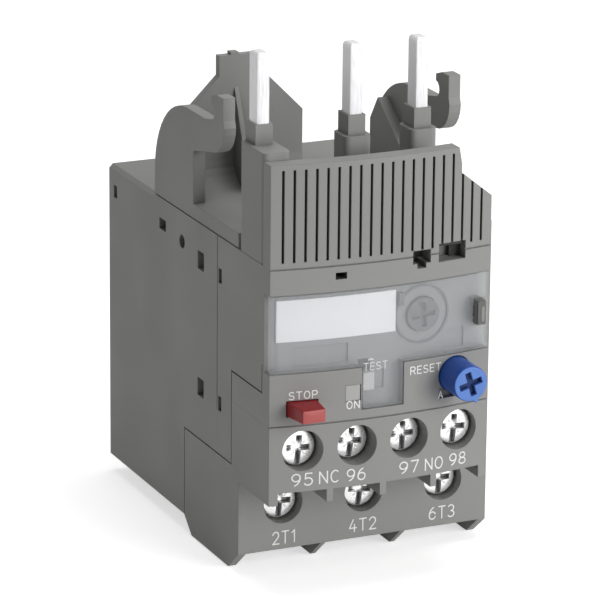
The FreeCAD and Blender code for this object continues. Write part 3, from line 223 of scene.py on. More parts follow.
# what each plastic has unless its own look says otherwise; scales are per metre, depths in metres
plainPlastic = {"mottle": 0.03, "mottleScale": 160, "wearScale": 300, "wearDetail": 2.0,
                "rough": 0.45, "roughSpread": 0.05, "grainScale": 5200, "grainDetail": 4.0,
                "grainDepth": 0.00002, "grainStrength": 0.25, "specular": 0.25}
plasticLooks = {
    # housingGrey's corner and cornerReach set the painted shade in its own corners
    "housingGrey": {"colour": (0.262, 0.262, 0.254), "mottleScale": 45, "wearScale": 90,
                    "rough": 0.6, "grainDepth": 0.00003, "grainStrength": 0.3, "edge": 0.00016,
                    "corner": 0.3, "cornerReach": 0.005},
    "stopRed": {"colour": (0.25, 0.012, 0.016), "mottle": 0.05, "rough": 0.42, "roughSpread": 0.06,
                "grainDepth": 0.00003, "specular": 0.35, "edge": 0.00025},
    # stopLitFace is a lighter copy of stopRed for the key's front, which faces the light: painted
    # light
    "stopLitFace": {"colour": (0.40, 0.085, 0.08), "mottle": 0.05, "mottleScale": 400,
                 "wearScale": 500, "rough": 0.5, "roughSpread": 0.06, "grainDepth": 0.00003,
                 "specular": 0.35},
    "resetBlue": {"colour": (0.008, 0.066, 0.34), "mottle": 0.05, "rough": 0.40,
                  "roughSpread": 0.06, "grainDepth": 0.00003, "specular": 0.35},
    # resetLitFace is a lighter copy of resetBlue for the knob's front, which faces the light:
    # painted light
    "resetLitFace": {"colour": (0.10, 0.21, 0.56), "mottle": 0.06, "mottleScale": 500,
                  "wearScale": 600, "rough": 0.48, "roughSpread": 0.06, "grainDepth": 0.00003,
                  # its recess colour is the painted shade in the knob's cross
                  "specular": 0.35, "recessShadeColour": (0.002, 0.022, 0.12)},
    "labelWhite": {"colour": (0.93, 0.93, 0.94), "mottle": 0.01, "mottleScale": 120,
                   "wearScale": 200, "rough": 0.5, "grainScale": 3800, "grainDepth": 0.00001,
                   "grainStrength": 0.2},
    "printWhite": {"colour": (0.78, 0.78, 0.77), "mottle": 0.04, "mottleScale": 2500,
                   "wearScale": 900, "rough": 0.6, "roughSpread": 0.08, "grainStrength": 0.3},
    "flagGrey": {"colour": (0.37, 0.37, 0.36)},
    "sliderGrey": {"colour": (0.52, 0.52, 0.51)},
    "innerPlastic": {"colour": (0.55, 0.54, 0.50), "mottle": 0.04, "mottleScale": 100,
                     "wearScale": 200, "rough": 0.5, "roughSpread": 0.06, "grainScale": 4200,
                     "grainStrength": 0.3},
    "clearTint": {"colour": (0.70, 0.72, 0.75), "mottle": 0.02, "mottleScale": 60, "wearScale": 110,
                  "rough": 0.10, "roughSpread": 0.03, "grainScale": 40, "grainStrength": 0.05,
                  "alpha": 0.17, "specular": 0.45},
    # near black for plates that stand in for the shade inside openings: painted shade
    "paintedShadowBlack": {"colour": (0.045, 0.045, 0.043), "mottle": 0.05, "rough": 0.6, "specular": 0.2},
    "scaleGrey": {"colour": (0.13, 0.13, 0.125), "rough": 0.5},
}
# what each metal has unless its own look says otherwise; polished and dull are shares of its rough
plainMetal = {"metallic": 1.0, "polished": 0.75, "dull": 1.3, "brushDetail": 2.0,
              "brushStrength": 0.4, "brushDepth": 0.00001}
metalLooks = {
    "tinnedCopper": {"colour": (0.68, 0.68, 0.69), "stain": 0.04, "stainScale": 220, "rough": 0.62,
                     "metallic": 0.6, "brushScale": 900, "brushStretch": (6, 6, 0.4),
                     "brushDepth": 0.000008},
    # brightScrew's recess colour is the painted shade in the screw heads' crosses
    "brightScrew": {"colour": (0.95, 0.95, 0.95), "stain": 0.03, "stainScale": 300, "rough": 0.28,
                    "metallic": 0.6, "brushScale": 700, "brushStretch": (1, 1, 1),
                    "brushDepth": 0.000001, "recessShadeColour": (0.09, 0.09, 0.09)},
    "zincSteel": {"colour": (0.62, 0.63, 0.66), "stain": 0.12, "stainScale": 260, "rough": 0.38,
                  "brushScale": 1200, "brushStretch": (4, 1, 1)},
    "springSteel": {"colour": (0.55, 0.55, 0.56), "stain": 0.08, "stainScale": 400, "rough": 0.3,
                    "brushScale": 1600, "brushStretch": (1, 4, 1), "brushDepth": 0.000008},
    "bimetalStrip": {"colour": (0.50, 0.48, 0.45), "stain": 0.10, "stainScale": 240, "rough": 0.42,
                     "brushScale": 1300, "brushStretch": (4, 4, 0.5)},
    "heaterWire": {"colour": (0.36, 0.34, 0.31), "stain": 0.18, "stainScale": 300, "rough": 0.48,
                   "brushScale": 1100, "brushStretch": (1, 1, 3)},
    "contactBrass": {"colour": (0.70, 0.53, 0.24), "stain": 0.12, "stainScale": 240, "rough": 0.32,
                     "brushScale": 1200, "brushStretch": (4, 1, 1)},
}
finishes = {}
for name, look in plasticLooks.items():
    finishes[name] = mouldedPlastic(name, {**plainPlastic, **look})
for name, look in metalLooks.items():
    finishes[name] = workedMetal(name, {**plainMetal, **look})
print("materials made:", len(finishes))

# the finish of each material slot of the record, and of the nodes whose moulding has its own shade
slotFinish = {"housing_grey": "housingGrey", "clear_tint": "clearTint",
              "label_white": "labelWhite", "stop_red": "stopRed", "reset_blue": "resetBlue",
              "inner_plastic": "innerPlastic", "spring_steel": "springSteel",
              "tinned_copper": "tinnedCopper", "zinc_steel": "zincSteel",
              "bright_screw": "brightScrew", "bimetal_strip": "bimetalStrip",
              "heater_wire": "heaterWire", "brass_contact": "contactBrass"}
nodeFinish = {"trip_flag": "flagGrey", "test_slider": "sliderGrey", "setting_dial": "scaleGrey"}
for part in frame["record"]["subparts"]:
    mesh = nodes[part["node"]].data
    mesh.materials.clear()
    finish = nodeFinish.get(part["node"], slotFinish[part["material_slot"]])
    mesh.materials.append(finishes[finish])
print("finishes given to the frame's nodes")


# a mesh from points and faces, on its body and in its slot; the last argument gives each point's
# share of painted shade in a recess, 0 to 1
def addPiece(name, points, faces, finish, body, replaced=(), recessShade=None):
    mesh = bpy.data.meshes.new(name)
    mesh.from_pydata(np.asarray(points).reshape(-1, 3).tolist(), [], faces)
    mesh.materials.append(finishes[finish])
    if recessShade is not None:
        depths = mesh.attributes.new("recessShade", "FLOAT", "POINT")
        depths.data.foreach_set("value", recessShade.astype(np.float32))
    mesh.update()
    piece = bpy.data.objects.new(name, mesh)
    scene.collection.objects.link(piece)
    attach(piece, body)
    if replaced:
        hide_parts(*replaced)
    return piece


# a second finish on a piece's first faces, count of them
def faceFinish(piece, finish, count):
    piece.data.materials.append(finishes[finish])
    onFace = np.arange(len(piece.data.polygons)) < count
    piece.data.polygons.foreach_set("material_index", onFace.astype(np.int32))


# quads of a grid of points, closed round its second direction if asked
def gridFaces(rows, columns, closed=False):
    across = columns if closed else columns - 1
    i, j = np.meshgrid(np.arange(rows - 1), np.arange(across), indexing="ij")
    following = (j + 1) % columns
    quads = np.stack([i * columns + j, i * columns + following, (i + 1) * columns + following,
                      (i + 1) * columns + j], axis=-1)
    return quads.reshape(-1, 4).tolist()


# even steps once round, without the last that would meet the first
def roundSteps(count):
    return np.linspace(0, 2 * np.pi, count, endpoint=False)


# smooth all over, but for edges sharper than the angle
def shadeSmooth(piece, angle):
    count = len(piece.data.polygons)
    piece.data.polygons.foreach_set("use_smooth", np.ones(count, dtype=bool))
    piece.data.set_sharp_from_angle(angle=math.radians(angle))


frontLow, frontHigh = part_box("grille_hood")
frontFace = {"bulge": 1.8 * mm, "width": frontHigh.x - frontLow.x,
             "middle": (frontLow.x + frontHigh.x) / 2, "crest": frontLow.y, "sunk": 2.2 * mm}


# the front face is an upright cylinder through its crest, with the width as its chord and the bulge
# as its rise: y for each x, on the cylinder or inset behind it
def faceY(x, inset=0.0):
    radius = ((frontFace["width"] / 2) ** 2 + frontFace["bulge"] ** 2) / (2 * frontFace["bulge"])
    aside = x - frontFace["middle"]
    return frontFace["crest"] + radius - np.sqrt((radius - inset) ** 2 - aside ** 2)


# the floor of the sunk field under the cover, which follows the front face
def floorY(x):
    return faceY(x, frontFace["sunk"])


# the flat front of the main terminals
def terminalY(x):
    return np.full_like(x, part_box("terminal_block")[0].y)


# white print, one even stroke wide: each sign is lines (x, z, x, z ...) and arcs (x, z, half width,
# half height, from, to) in a height of 1
signs = {
    "1": [(0.05, 0.8, 0.28, 1, 0.28, 0)],
    "2": [("arc", 0.29, 0.71, 0.28, 0.29, 165, -35), (0.519, 0.544, 0.02, 0, 0.6, 0)],
    "3": [("arc", 0.27, 0.755, 0.26, 0.245, 150, -90), ("arc", 0.27, 0.255, 0.3, 0.255, 90, -150)],
    "4": [(0.34, 1, 0, 0.3, 0.62, 0.3), (0.45, 0.6, 0.45, 0)],
    "5": [(0.56, 1, 0.1, 1, 0.08, 0.53), ("arc", 0.28, 0.31, 0.31, 0.31, 130, -145)],
    "6": [("arc", 0.3, 0.31, 0.3, 0.31, 0, 360), ("arc", 0.55, 0.31, 0.55, 0.69, 180, 105)],
    "7": [(0.02, 1, 0.58, 1, 0.2, 0)],
    "8": [("arc", 0.3, 0.76, 0.25, 0.24, 0, 360), ("arc", 0.3, 0.26, 0.3, 0.26, 0, 360)],
    "9": [("arc", 0.3, 0.69, 0.3, 0.31, 0, 360), ("arc", 0.05, 0.69, 0.55, 0.69, 0, -75)],
    "A": [(0, 0, 0.32, 1, 0.64, 0), (0.11, 0.33, 0.53, 0.33)],
    "C": [("arc", 0.34, 0.5, 0.34, 0.5, 52, 308)],
    "E": [(0.52, 1, 0, 1, 0, 0, 0.52, 0), (0, 0.52, 0.45, 0.52)],
    "N": [(0, 0, 0, 1, 0.62, 0, 0.62, 1)],
    "O": [("arc", 0.34, 0.5, 0.34, 0.5, 0, 360)],
    "P": [(0.32, 0.46, 0, 0.46), (0, 0, 0, 1, 0.32, 1), ("arc", 0.32, 0.73, 0.27, 0.27, 90, -90)],
    "R": [(0.32, 0.46, 0, 0.46), (0, 0, 0, 1, 0.32, 1), ("arc", 0.32, 0.73, 0.27, 0.27, 90, -90),
          (0.33, 0.46, 0.6, 0)],
    "S": [("arc", 0.29, 0.75, 0.26, 0.25, 30, 270), ("arc", 0.29, 0.25, 0.29, 0.25, 90, -150)],
    "T": [(0, 1, 0.62, 1), (0.31, 1, 0.31, 0)],
    "^": [(0, 0, 0.5, 0.8, 1, 0, 0, 0), (0.2, 0.15, 0.8, 0.15), (0.35, 0.35, 0.65, 0.35)],
}
# each word's middle x and z, height and width in mm; stroke is half the width of the ribbon
marks = {
    "onFace": {"95": (-17.05, 19.95, 2.2, 3.6), "NC": (-12.6, 20.0, 2.2, 3.3),
               "96": (-7.9, 19.85, 2.15, 3.3), "97": (1.5, 19.85, 2.15, 3.6),
               "NO": (6.1, 19.75, 2.15, 3.4), "98": (10.6, 19.8, 2.15, 3.2),
               "STOP": (-17.0, 34.2, 1.4, 4.8), "ON": (-8.6, 31.75, 1.4, 2.3),
               "RESET": (4.25, 36.15, 1.4, 5.7), "A": (7.1, 31.3, 1.3, 0.9)},
    "onFloor": {"TEST": (-3.75, 37.05, 1.4, 4.3), "^": (-4.6, 38.35, 0.5, 1.1)},
    "onTerminals": {"2T1": (-14.4, 5.3, 2.3, 4.1), "4T2": (-0.1, 5.5, 2.3, 5.0),
                    "6T3": (14.4, 5.6, 2.3, 4.8)},
    "lift": 0.04, "hair": 0.0015, "gap": 0.3, "stroke": 0.115, "smallStroke": 0.09,
    "smallUnder": 1.8, "arcSteps": 24, "capSpokes": 10,
}


# a word's strokes as runs of (x, z) points in its own height of 1, and its whole width
def wordRuns(text):
    runs = []
    pen = 0.0
    for sign in text:
        widest = 0.0
        for stroke in signs[sign]:
            if stroke[0] == "arc":
                x, z, halfX, halfZ, start, stop = stroke[1:]
                turn = np.radians(np.linspace(start, stop, marks["arcSteps"]))
                run = np.stack([x + halfX * np.cos(turn), z + halfZ * np.sin(turn)], axis=1)
                runs.append(run + (pen, 0))
            else:
                run = np.array(stroke, dtype=float).reshape(-1, 2)
                runs += [run[i:i + 2] + (pen, 0) for i in range(len(run) - 1)]
            widest = max(widest, run[:, 0].max())
        pen += widest + marks["gap"]
    return runs, pen - marks["gap"]


# a ribbon: each run's points moved half a stroke to both sides, and a round cap at both its ends
def addMark(text, x, z, height, width, lie):
    runs, wide = wordRuns(text)
    half = marks["stroke"] if height > marks["smallUnder"] else marks["smallStroke"]
    scale = np.array([(width - 2 * half) / wide, height - 2 * half])
    turn = roundSteps(marks["capSpokes"])
    cap = half * np.stack([np.cos(turn), np.sin(turn)], axis=1)
    points, faces, rises, count = [], [], [], 0
    for order, run in enumerate(runs):
        line = (run - (wide / 2, 0.5)) * scale
        along = np.gradient(line, axis=0)
        along /= np.linalg.norm(along, axis=1, keepdims=True)
        aside = np.stack([-along[:, 1], along[:, 0]], axis=1) * half
        faces += (np.array(gridFaces(2, len(line))) + count).tolist()
        points += [line - aside, line + aside]
        count += 2 * len(line)
        # a run lies a hair above the last one, so that no two lie in one plane
        rises += [np.full(2 * len(line), order * 2.0), np.full(2 * len(turn), order * 2.0 + 1)]
        for end in (line[0], line[-1]):
            points.append(end + cap)
            faces.append(list(range(count, count + len(turn))))
            count += len(turn)
    flat = np.concatenate(points) + (x, z)
    px = flat[:, 0] * mm
    lift = (marks["lift"] + marks["hair"] * np.concatenate(rises)) * mm
    placed = np.stack([px, lie(px) - lift, flat[:, 1] * mm], axis=1)
    name = "mark_" + text.replace("^", "arrow")
    addPiece(name, placed, faces, "printWhite", "base")


for place, lie in (("onFace", faceY), ("onFloor", floorY), ("onTerminals", terminalY)):
    for text, (x, z, height, width) in marks[place].items():
        addMark(text, x, z, height, width, lie)
print("print added")


# 0 below low, 1 above high, and t * t * (3 - 2 t) between them
def softStep(value, low, high):
    t = np.clip((value - low) / (high - low), 0, 1)
    return t * t * (3 - 2 * t)


# one arm of a pressed cross: 1 inside its half width and reach, falling to 0 over its sloping walls
def armDepth(along, aside, half, reach, slope):
    sides = 1 - softStep(np.abs(aside), half, half + slope)
    ends = 1 - softStep(np.abs(along), reach - slope, reach)
    return sides * ends


# the cross: the deeper of its two arms at each point (u, v) of the flat
def crossDepth(u, v, half, reach, slope):
    return np.maximum(armDepth(u, v, half, reach, slope), armDepth(v, u, half, reach, slope))


# rings round the y axis through (x, z): each has its own radius and y, which may vary round it
def turnedRings(x, z, radii, depths, theta):
    across = x + radii * np.cos(theta)
    up = z + radii * np.sin(theta)
    return np.stack([across, np.broadcast_to(depths, across.shape), up], axis=-1).reshape(-1, 3)


# pan heads in mm: hub is the share of the radius at which the rings start, proud is how far the
# crown stands off the node
screwLook = {"labels": ["main_screw_2t1", "main_screw_4t2", "main_screw_6t3", "aux_screw_95",
                        "aux_screw_96", "aux_screw_97", "aux_screw_98"],
             "rings": 64, "spokes": 180, "radius": 3.0, "hub": 1e-4, "dome": 0.25, "domePower": 2.6,
             "edge": 0.2, "edgeFrom": 0.93, "rimDrop": 0.75, "headThick": 1.6, "tip": 0.2,
             "tipShare": 0.8, "tipHub": 0.001,
             "recessDepth": 1.2, "recessHalf": 0.4, "recessReach": 2.05, "slotReach": 2.9,
             "bowl": 0.45, "wallSlope": 0.1, "shadeFrom": 0.5, "shadeTo": 1.1,
             "tickDepth": 0.04, "tickHalf": 0.1, "tickFrom": 0.95, "tickTo": 1.7, "tickShade": 0.5,
             "tickClear": 0.01,
             "turn": 4.0, "turnSpread": 3.0, "turnStep": 2.1, "sharp": 30,
             "main": {"thread": 2.0, "proud": 0.5}, "aux": {"thread": 1.75, "proud": 1.1}}


# a dome that rounds off at the rim, less a cross with one arm run out to the rim and fine ticks
# between its arms; behind it the head's side and a plain shank down to the tip
def addScrew(label, turn):
    look = screwLook
    kind = look[label.split("_")[0]]
    low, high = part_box(label)
    x, z = (low.x + high.x) / 2, (low.z + high.z) / 2
    radius, thread = look["radius"] * mm, kind["thread"] * mm
    crown = low.y - kind["proud"] * mm
    theta = roundSteps(look["spokes"])[None, :]
    share = np.linspace(look["hub"], 1, look["rings"])[:, None]
    r = share * radius
    u = r * np.cos(theta + math.radians(turn)) / mm
    v = r * np.sin(theta + math.radians(turn)) / mm
    out = np.hypot(u, v)
    fall = look["dome"] * share ** look["domePower"]
    fall = fall + look["edge"] * softStep(share, look["edgeFrom"], 1.0)
    half, slope = look["recessHalf"], look["wallSlope"]
    reach = np.where(v < 0, look["slotReach"], look["recessReach"])
    cross = np.maximum(crossDepth(u, v, half, look["recessReach"], slope),
                       armDepth(v, u, half, reach, slope))
    bowl = 1 - look["bowl"] * np.clip(out / look["slotReach"], 0, 1) ** 2
    between = np.abs(np.abs(u) - np.abs(v)) < look["tickHalf"]
    tick = between * (out > look["tickFrom"]) * (out < look["tickTo"]) * (cross < look["tickClear"])
    y = crown + (fall + look["recessDepth"] * cross * bowl + look["tickDepth"] * tick) * mm
    top = turnedRings(x, z, r, y, theta)
    headBack = low.y + look["headThick"] * mm
    stem = np.array([(radius, crown + look["rimDrop"] * mm), (radius, headBack), (thread, headBack),
                     (thread, high.y - look["tip"] * mm), (thread * look["tipShare"], high.y),
                     (look["tipHub"] * mm, high.y)])
    rest = turnedRings(x, z, stem[:, :1], stem[:, 1:], theta)
    # the arms are painted darker towards their ends and the ticks half as dark, the middle where
    # they cross left light: painted shade
    paintedDark = cross * softStep(out, look["shadeFrom"], look["shadeTo"])
    paintedDark = np.maximum(paintedDark, look["tickShade"] * tick)
    shade = np.concatenate([paintedDark.ravel(), np.zeros(len(rest))])
    faces = gridFaces(look["rings"] + len(stem), look["spokes"], closed=True)
    piece = addPiece(label + "_head", np.concatenate([top, rest]), faces, "brightScrew", label,
                     [label], shade)
    shadeSmooth(piece, look["sharp"])


# each screw was left at a slightly different turn
for order, label in enumerate(screwLook["labels"]):
    astray = screwLook["turnSpread"] * math.sin(order * screwLook["turnStep"])
    addScrew(label, screwLook["turn"] + astray)
print("screws added")

# the reset knob in mm and degrees
knobLook = {"rings": 72, "spokes": 216, "radius": 2.95, "bore": 1.55, "boreFloor": 2.0, "hub": 1e-4,
            "rimRound": 0.25, "rimSteps": 6, "rimFrom": 0.15, "recessDepth": 0.9, "crossHalf": 0.45,
            "crossReach": 2.05, "crossTurn": 17.0, "wallSlope": 0.08, "noseTurn": 290.0,
            "noseHalf": 10.0, "noseProud": 0.6, "noseThick": 1.6, "nosePower": 0.8, "noseSpread": 6,
            "noseStep": 0.02, "sharp": 35}


# a turned cap: rings over its face with a cross let in and a small nose on the rim, the rim's
# quarter round, then the side with the nose's back, the open back and the bore
def addKnob():
    look = knobLook
    low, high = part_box("reset_knob")
    x, z = low.x + look["radius"] * mm, high.z - look["radius"] * mm
    theta = roundSteps(look["spokes"])[None, :]
    away = (np.degrees(theta) - look["noseTurn"] + 180) % 360 - 180
    peak = np.clip(1 - np.abs(away) / look["noseHalf"], 0, 1)
    nose = look["noseProud"] * peak ** look["nosePower"]
    share = np.linspace(look["hub"], 1, look["rings"])[:, None]
    r = share * (look["radius"] - look["rimRound"]) + nose * share ** look["noseSpread"]
    u = r * np.cos(theta - math.radians(look["crossTurn"]))
    v = r * np.sin(theta - math.radians(look["crossTurn"]))
    cross = crossDepth(u, v, look["crossHalf"], look["crossReach"], look["wallSlope"])
    face = turnedRings(x, z, r * mm, low.y + look["recessDepth"] * mm * cross, theta)
    quarter = np.linspace(look["rimFrom"], 1, look["rimSteps"])[:, None] * np.pi / 2
    rimR = look["radius"] - look["rimRound"] * (1 - np.sin(quarter)) + nose
    rimY = low.y + look["rimRound"] * (1 - np.cos(quarter)) * mm
    rim = turnedRings(x, z, rimR * mm, rimY, theta)
    noseBack = low.y + look["noseThick"] * mm
    boreFloor = low.y + look["boreFloor"] * mm
    plain = np.ones_like(theta)
    rows = [(plain * look["radius"] + nose, noseBack),
            (plain * look["radius"], noseBack + look["noseStep"] * mm),
            (plain * look["radius"], high.y), (plain * look["bore"], high.y),
            (plain * look["bore"], boreFloor), (plain * look["hub"], boreFloor)]
    side = np.concatenate([turnedRings(x, z, row * mm, y, theta) for row, y in rows])
    # the cross let into the face is painted darker by its depth: painted shade
    shade = np.concatenate([cross.ravel(), np.zeros(len(rim) + len(side))])
    faces = gridFaces(look["rings"] + len(quarter) + len(rows), look["spokes"], closed=True)
    piece = addPiece("reset_knob_cap", np.concatenate([face, rim, side]), faces, "resetBlue",
                     "reset_turn", ["reset_knob"], shade)
    # the front face takes the lighter copy of the blue: painted light
    faceFinish(piece, "resetLitFace", (look["rings"] + 1) * look["spokes"])
    shadeSmooth(piece, look["sharp"])


addKnob()
print("knob added")


# a rectangle with rounded corners: a square wave spreads the part of each half width that the
# corner circles leave, and the circles are added
def roundedRing(theta, halfX, halfY, corner, square):
    alongX, alongY = np.cos(theta), np.sin(theta)
    return ((halfX - corner) * np.clip(alongX * square, -1, 1) + corner * alongX,
            (halfY - corner) * np.clip(alongY * square, -1, 1) + corner * alongY)


# the contact pins in mm: blunt is the share of its width that the tip loses, thin how much of that
# its thickness loses too
pinLook = {"labels": ["contact_pin_left", "contact_pin_middle", "contact_pin_right"],
           "corner": 0.35, "square": 1.6, "tip": 0.85, "tipSteps": 8, "spokes": 48, "blunt": 0.45,
           "thin": 0.65, "hub": 1e-3, "sharp": 40}


# a rounded bar whose tip closes in along a quarter round
def addPin(label):
    look = pinLook
    low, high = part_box(label)
    middle = (low + high) / 2
    half = (high - low) / 2
    theta = roundSteps(look["spokes"])[None, :]
    alongX, alongY = roundedRing(theta, half.x, half.y, look["corner"] * mm, look["square"])
    quarter = np.linspace(0, 1, look["tipSteps"])[:, None] * np.pi / 2
    shrink = (1 - look["blunt"]) + look["blunt"] * np.cos(quarter)
    height = high.z - look["tip"] * mm * (1 - np.sin(quarter))
    scale = np.concatenate([[[look["hub"]], [1]], shrink, [[look["hub"]]]])
    level = np.concatenate([[[low.z], [low.z]], height, [[high.z]]])
    px = middle.x + alongX * scale
    py = middle.y + alongY * ((1 - look["thin"]) + look["thin"] * scale)
    points = np.stack([px, py, np.broadcast_to(level, px.shape)], axis=-1)
    faces = [face[::-1] for face in gridFaces(len(scale), look["spokes"], closed=True)]
    body = body_of(nodes[label])[0]
    piece = addPiece(label + "_blade", points, faces, "tinnedCopper", body,
                     [label])
    shadeSmooth(piece, look["sharp"])


for label in pinLook["labels"]:
    addPin(label)
print("pins added")

barLook = {"spokes": 64, "square": 40.0, "hub": 1e-3, "sharp": 40}


# a bar along y: rounded rectangles through sections (middle x, middle z, half x, half z, y) in mm,
# with both ends closed
def addBar(name, sections, corner, finish, body, replaced=()):
    theta = roundSteps(barLook["spokes"])[None, :]
    sections = np.array([sections[0], *sections, sections[-1]], dtype=float)
    sections[[0, -1], 2:4] = barLook["hub"]
    x, z, halfX, halfZ, y = (sections[:, i:i + 1] for i in range(5))
    rounding = np.minimum(corner, np.minimum(halfX, halfZ))
    alongX, alongZ = roundedRing(theta, halfX, halfZ, rounding, barLook["square"])
    points = np.stack([x + alongX, np.broadcast_to(y, alongX.shape), z + alongZ], axis=-1) * mm
    faces = gridFaces(len(sections), barLook["spokes"], closed=True)
    piece = addPiece(name, points, faces, finish, body, replaced)
    shadeSmooth(piece, barLook["sharp"])
    return piece


# the stop key in mm: where its front, face, flange and back lie in y, and the half sizes (x, z) of
# its tip, body and flange
stopLook = {"front": -36.4, "tip": (2.0, 1.1), "body": (2.5, 1.2), "face": -31.6,
            "flange": (3.3, 1.6), "flangeFront": -26.35, "back": -24.95, "corner": 0.2,
            "edge": 0.22, "ease": 0.3}


# a tapered key whose front edge is eased in two steps, with a flange behind that reaches up further
def addStop():
    look = stopLook
    low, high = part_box("stop_button")
    x, z = (low.x + high.x) / 2 / mm, low.z / mm + look["body"][1]
    tip, body, flange, edge = (look[k] for k in ("tip", "body", "flange", "edge"))
    eased = edge * look["ease"]
    raised = z + flange[1] - body[1]
    sections = [(x, z, tip[0] - edge, tip[1] - edge, look["front"]),
                (x, z, tip[0] - eased, tip[1] - eased, look["front"] + eased),
                (x, z, *tip, look["front"] + edge), (x, z, *body, look["face"]),
                (x, z, *body, look["flangeFront"]), (x, raised, *flange, look["flangeFront"]),
                (x, raised, *flange, look["back"])]
    key = addBar("stop_key", sections, look["corner"], "stopRed", "stop",
                 ["stop_button"])
    # the key's front takes the lighter copy of the red: painted light
    faceFinish(key, "stopLitFace", barLook["spokes"] * 2)


addStop()

# small caps in mm: the slider's thumb plate, the label's clip, the seal lug and its eye, two
# near-black plates behind the sight slot that are painted shade standing in for its dark inside,
# and the flag's window plate
capEdge = {"bevel": 0.06, "corner": 0.12}
capLooks = {
    "test_slider_cap": {"x": -5.35, "z": 34.9, "half": (1.0, 1.45), "from": -31.4, "to": -30.95,
                        "finish": "sliderGrey", "body": "test", "slot": "housing_grey"},
    "label_clip": {"x": 0.35, "z": 47.9, "half": (0.45, 1.1), "from": -31.3, "to": -30.3,
                   "finish": "scaleGrey", "body": "base", "slot": "housing_grey"},
    "seal_lug_front": {"x": 14.2, "z": 44.3, "half": (0.72, 2.0), "from": -32.3, "to": -31.7,
                       "finish": "scaleGrey", "body": "base", "slot": "housing_grey"},
    "seal_lug_eye": {"x": 14.35, "z": 44.1, "half": (0.3, 1.25), "from": -32.38, "to": -32.2,
                     "finish": "housingGrey", "body": "base", "slot": "housing_grey"},
    "sight_shadow_side": {"x": 10.3, "z": 55.2, "half": (0.95, 1.45), "from": -29.6, "to": -28.7,
                   "finish": "paintedShadowBlack", "body": "base", "slot": "housing_grey"},
    "sight_shadow_top": {"x": 8.8, "z": 56.3, "half": (2.45, 0.35), "from": -31.0, "to": -30.0,
                   "finish": "paintedShadowBlack", "body": "base", "slot": "housing_grey"},
    "trip_flag_cap": {"x": -8.6, "z": 33.7, "half": (1.31, 1.31), "from": -32.42, "to": -31.9,
                      "finish": "flagGrey", "body": "flag", "slot": "label_white"},
}


# a flat plate, its front edge bevelled
def addCap(name, look):
    x, z, bevel = look["x"], look["z"], capEdge["bevel"]
    halfX, halfZ = look["half"]
    sections = [(x, z, halfX - bevel, halfZ - bevel, look["from"]),
                (x, z, halfX, halfZ, look["from"] + bevel), (x, z, halfX, halfZ, look["to"])]
    addBar(name, sections, capEdge["corner"], look["finish"], look["body"])


for name, look in capLooks.items():
    addCap(name, look)

# the ring round the setting dial, in mm: it stands proud of the floor and is sunk a little into it
ringLook = {"inner": 4.6, "outer": 4.95, "proud": 0.3, "sunk": -0.05, "spokes": 120}


# a square section carried round the dial's axis, following the curved floor; the dial's radius is
# half its height, measured in from its left side
def addDialRing():
    low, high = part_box("setting_dial")
    x, z = low.x + (high.z - low.z) / 2, (low.z + high.z) / 2
    theta = roundSteps(ringLook["spokes"])
    corners = (("inner", "sunk"), ("inner", "proud"), ("outer", "proud"), ("outer", "sunk"),
               ("inner", "sunk"))
    rows = []
    for radius, height in corners:
        across = x + ringLook[radius] * mm * np.cos(theta)
        rows.append(np.stack([across, floorY(across) - ringLook[height] * mm,
                              z + ringLook[radius] * mm * np.sin(theta)], axis=-1))
    faces = [face[::-1] for face in gridFaces(len(rows), ringLook["spokes"], closed=True)]
    addPiece("dial_ring", np.concatenate(rows), faces, "scaleGrey", "base")


addDialRing()
print("controls finished")


# 1 for rays that show the background: straight to the camera, off gloss, or through glass
def seenRay(tree):
    rays = tree.nodes.new("ShaderNodeLightPath")
    seen = rays.outputs["Is Camera Ray"]
    for kind in ("Is Glossy Ray", "Is Transmission Ray"):
        either = tree.nodes.new("ShaderNodeMath")
        either.operation = "MAXIMUM"
        tree.links.new(seen, either.inputs[0])
        tree.links.new(rays.outputs[kind], either.inputs[1])
        seen = either.outputs["Value"]
    return seen


# the floor lies just under the part; glow is what the camera sees on top of its lit colour
floorLook = {"size": 3.0, "under": 0.0002, "glow": 0.6, "colour": (0.84, 0.84, 0.84),
             "shade": (0.82, 0.82, 0.82), "toneScale": 3.0, "rough": 0.9}


# one white square, faintly toned
def addFloor():
    half, level = floorLook["size"] / 2, cadLow.z - floorLook["under"]
    corners = [(-half, -half, level), (half, -half, level), (half, half, level),
               (-half, half, level)]
    mesh = bpy.data.meshes.new("floor")
    mesh.from_pydata(corners, [], [(0, 1, 2, 3)])
    floor = bpy.data.objects.new("floor", mesh)
    scene.collection.objects.link(floor)
    material, tree, shader, place = startMaterial("floorWhite")
    tone = noiseOf(tree, place, floorLook["toneScale"])
    white = blendOf(tree, tone, floorLook["shade"], floorLook["colour"])
    tree.links.new(white, shader.inputs["Base Color"])
    shader.inputs["Roughness"].default_value = floorLook["rough"]
    shader.inputs["Emission Color"].default_value = (1, 1, 1, 1)
    glow = tree.nodes.new("ShaderNodeMath")
    glow.operation = "MULTIPLY"
    glow.inputs[1].default_value = floorLook["glow"]
    tree.links.new(seenRay(tree), glow.inputs[0])
    tree.links.new(glow.outputs["Value"], shader.inputs["Emission Strength"])
    mesh.materials.append(material)


lampAim = (0, 0, 0.045)
lampLooks = {
    "key": {"place": (0.45, -0.80, 0.30), "size": 0.55, "watts": 6.8},
    "top": {"place": (0.10, 0.05, 0.9), "size": 0.6, "watts": 3.7},
}


# a square soft lamp, turned to the middle of the part
def addLamp(name, look):
    lamp = bpy.data.lights.new(name, "AREA")
    lamp.size = look["size"]
    lamp.energy = look["watts"]
    holder = bpy.data.objects.new(name, lamp)
    holder.location = look["place"]
    aim = Vector(lampAim) - Vector(look["place"])
    holder.rotation_euler = aim.to_track_quat("-Z", "Y").to_euler()
    scene.collection.objects.link(holder)


worldLook = {"soft": 0.2, "shown": 1.0}


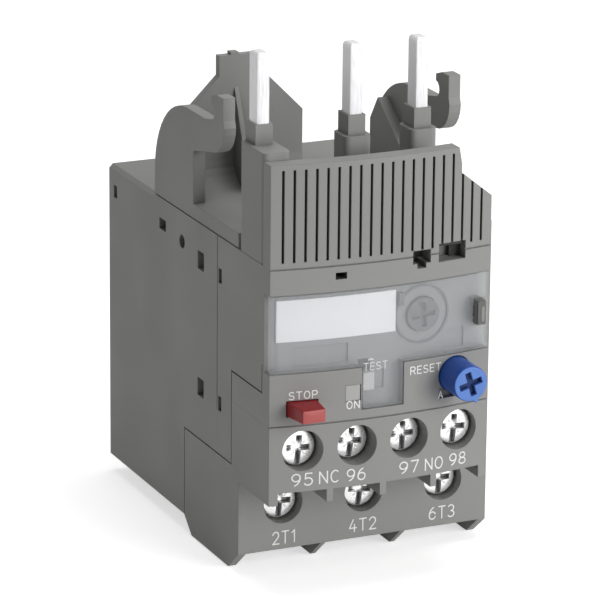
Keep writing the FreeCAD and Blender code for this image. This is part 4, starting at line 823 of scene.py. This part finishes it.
# soft light all round, and plain white where the background shows
def addWorld():
    world = bpy.data.worlds.new("studio")
    scene.world = world
    world.use_nodes = True
    tree = world.node_tree
    tree.nodes.clear()
    mix = tree.nodes.new("ShaderNodeMixShader")
    out = tree.nodes.new("ShaderNodeOutputWorld")
    tree.links.new(seenRay(tree), mix.inputs["Fac"])
    for socket, level in ((1, worldLook["soft"]), (2, worldLook["shown"])):
        light = tree.nodes.new("ShaderNodeBackground")
        light.inputs["Color"].default_value = (1, 1, 1, 1)
        light.inputs["Strength"].default_value = level
        tree.links.new(light.outputs["Background"], mix.inputs[socket])
    tree.links.new(mix.outputs["Shader"], out.inputs["Surface"])


# the camera stands left of the front and a little above, a long way off: degrees and metres, with
# its lens and sensor in mm
cameraLook = {"azimuth": -24.31, "elevation": 17.21, "roll": 0.54, "distance": 0.732,
              "aside": 0.01263, "raised": 0.02186, "lens": 248.0, "sensor": 36,
              "clip": (0.01, 20), "aim": (0.0, 0.03765, 0.00524)}


# back from the aim along the line of sight, then aside and up in the turned view
def addCamera():
    look = cameraLook
    azimuth, elevation, roll = (math.radians(look[k]) for k in ("azimuth", "elevation", "roll"))
    level = math.cos(elevation)
    back = Vector((math.sin(azimuth) * level, -math.cos(azimuth) * level, math.sin(elevation)))
    right = Vector((math.cos(azimuth), math.sin(azimuth), 0))
    up = back.cross(right)
    across = right * math.cos(roll) + up * math.sin(roll)
    upright = up * math.cos(roll) - right * math.sin(roll)
    camera = bpy.data.cameras.new("camera")
    camera.lens = look["lens"]
    camera.sensor_width = look["sensor"]
    camera.clip_start, camera.clip_end = look["clip"]
    holder = bpy.data.objects.new("camera", camera)
    place = Vector(look["aim"]) + back * look["distance"]
    place += across * look["aside"] + upright * look["raised"]
    turn = Matrix((across, upright, back)).transposed()
    holder.matrix_world = Matrix.Translation(place) @ turn.to_4x4()
    scene.collection.objects.link(holder)
    scene.camera = holder


addFloor()
for name, look in lampLooks.items():
    addLamp(name, look)
addWorld()
addCamera()
scene.view_settings.view_transform = "Standard"
print("stage, light and camera set")
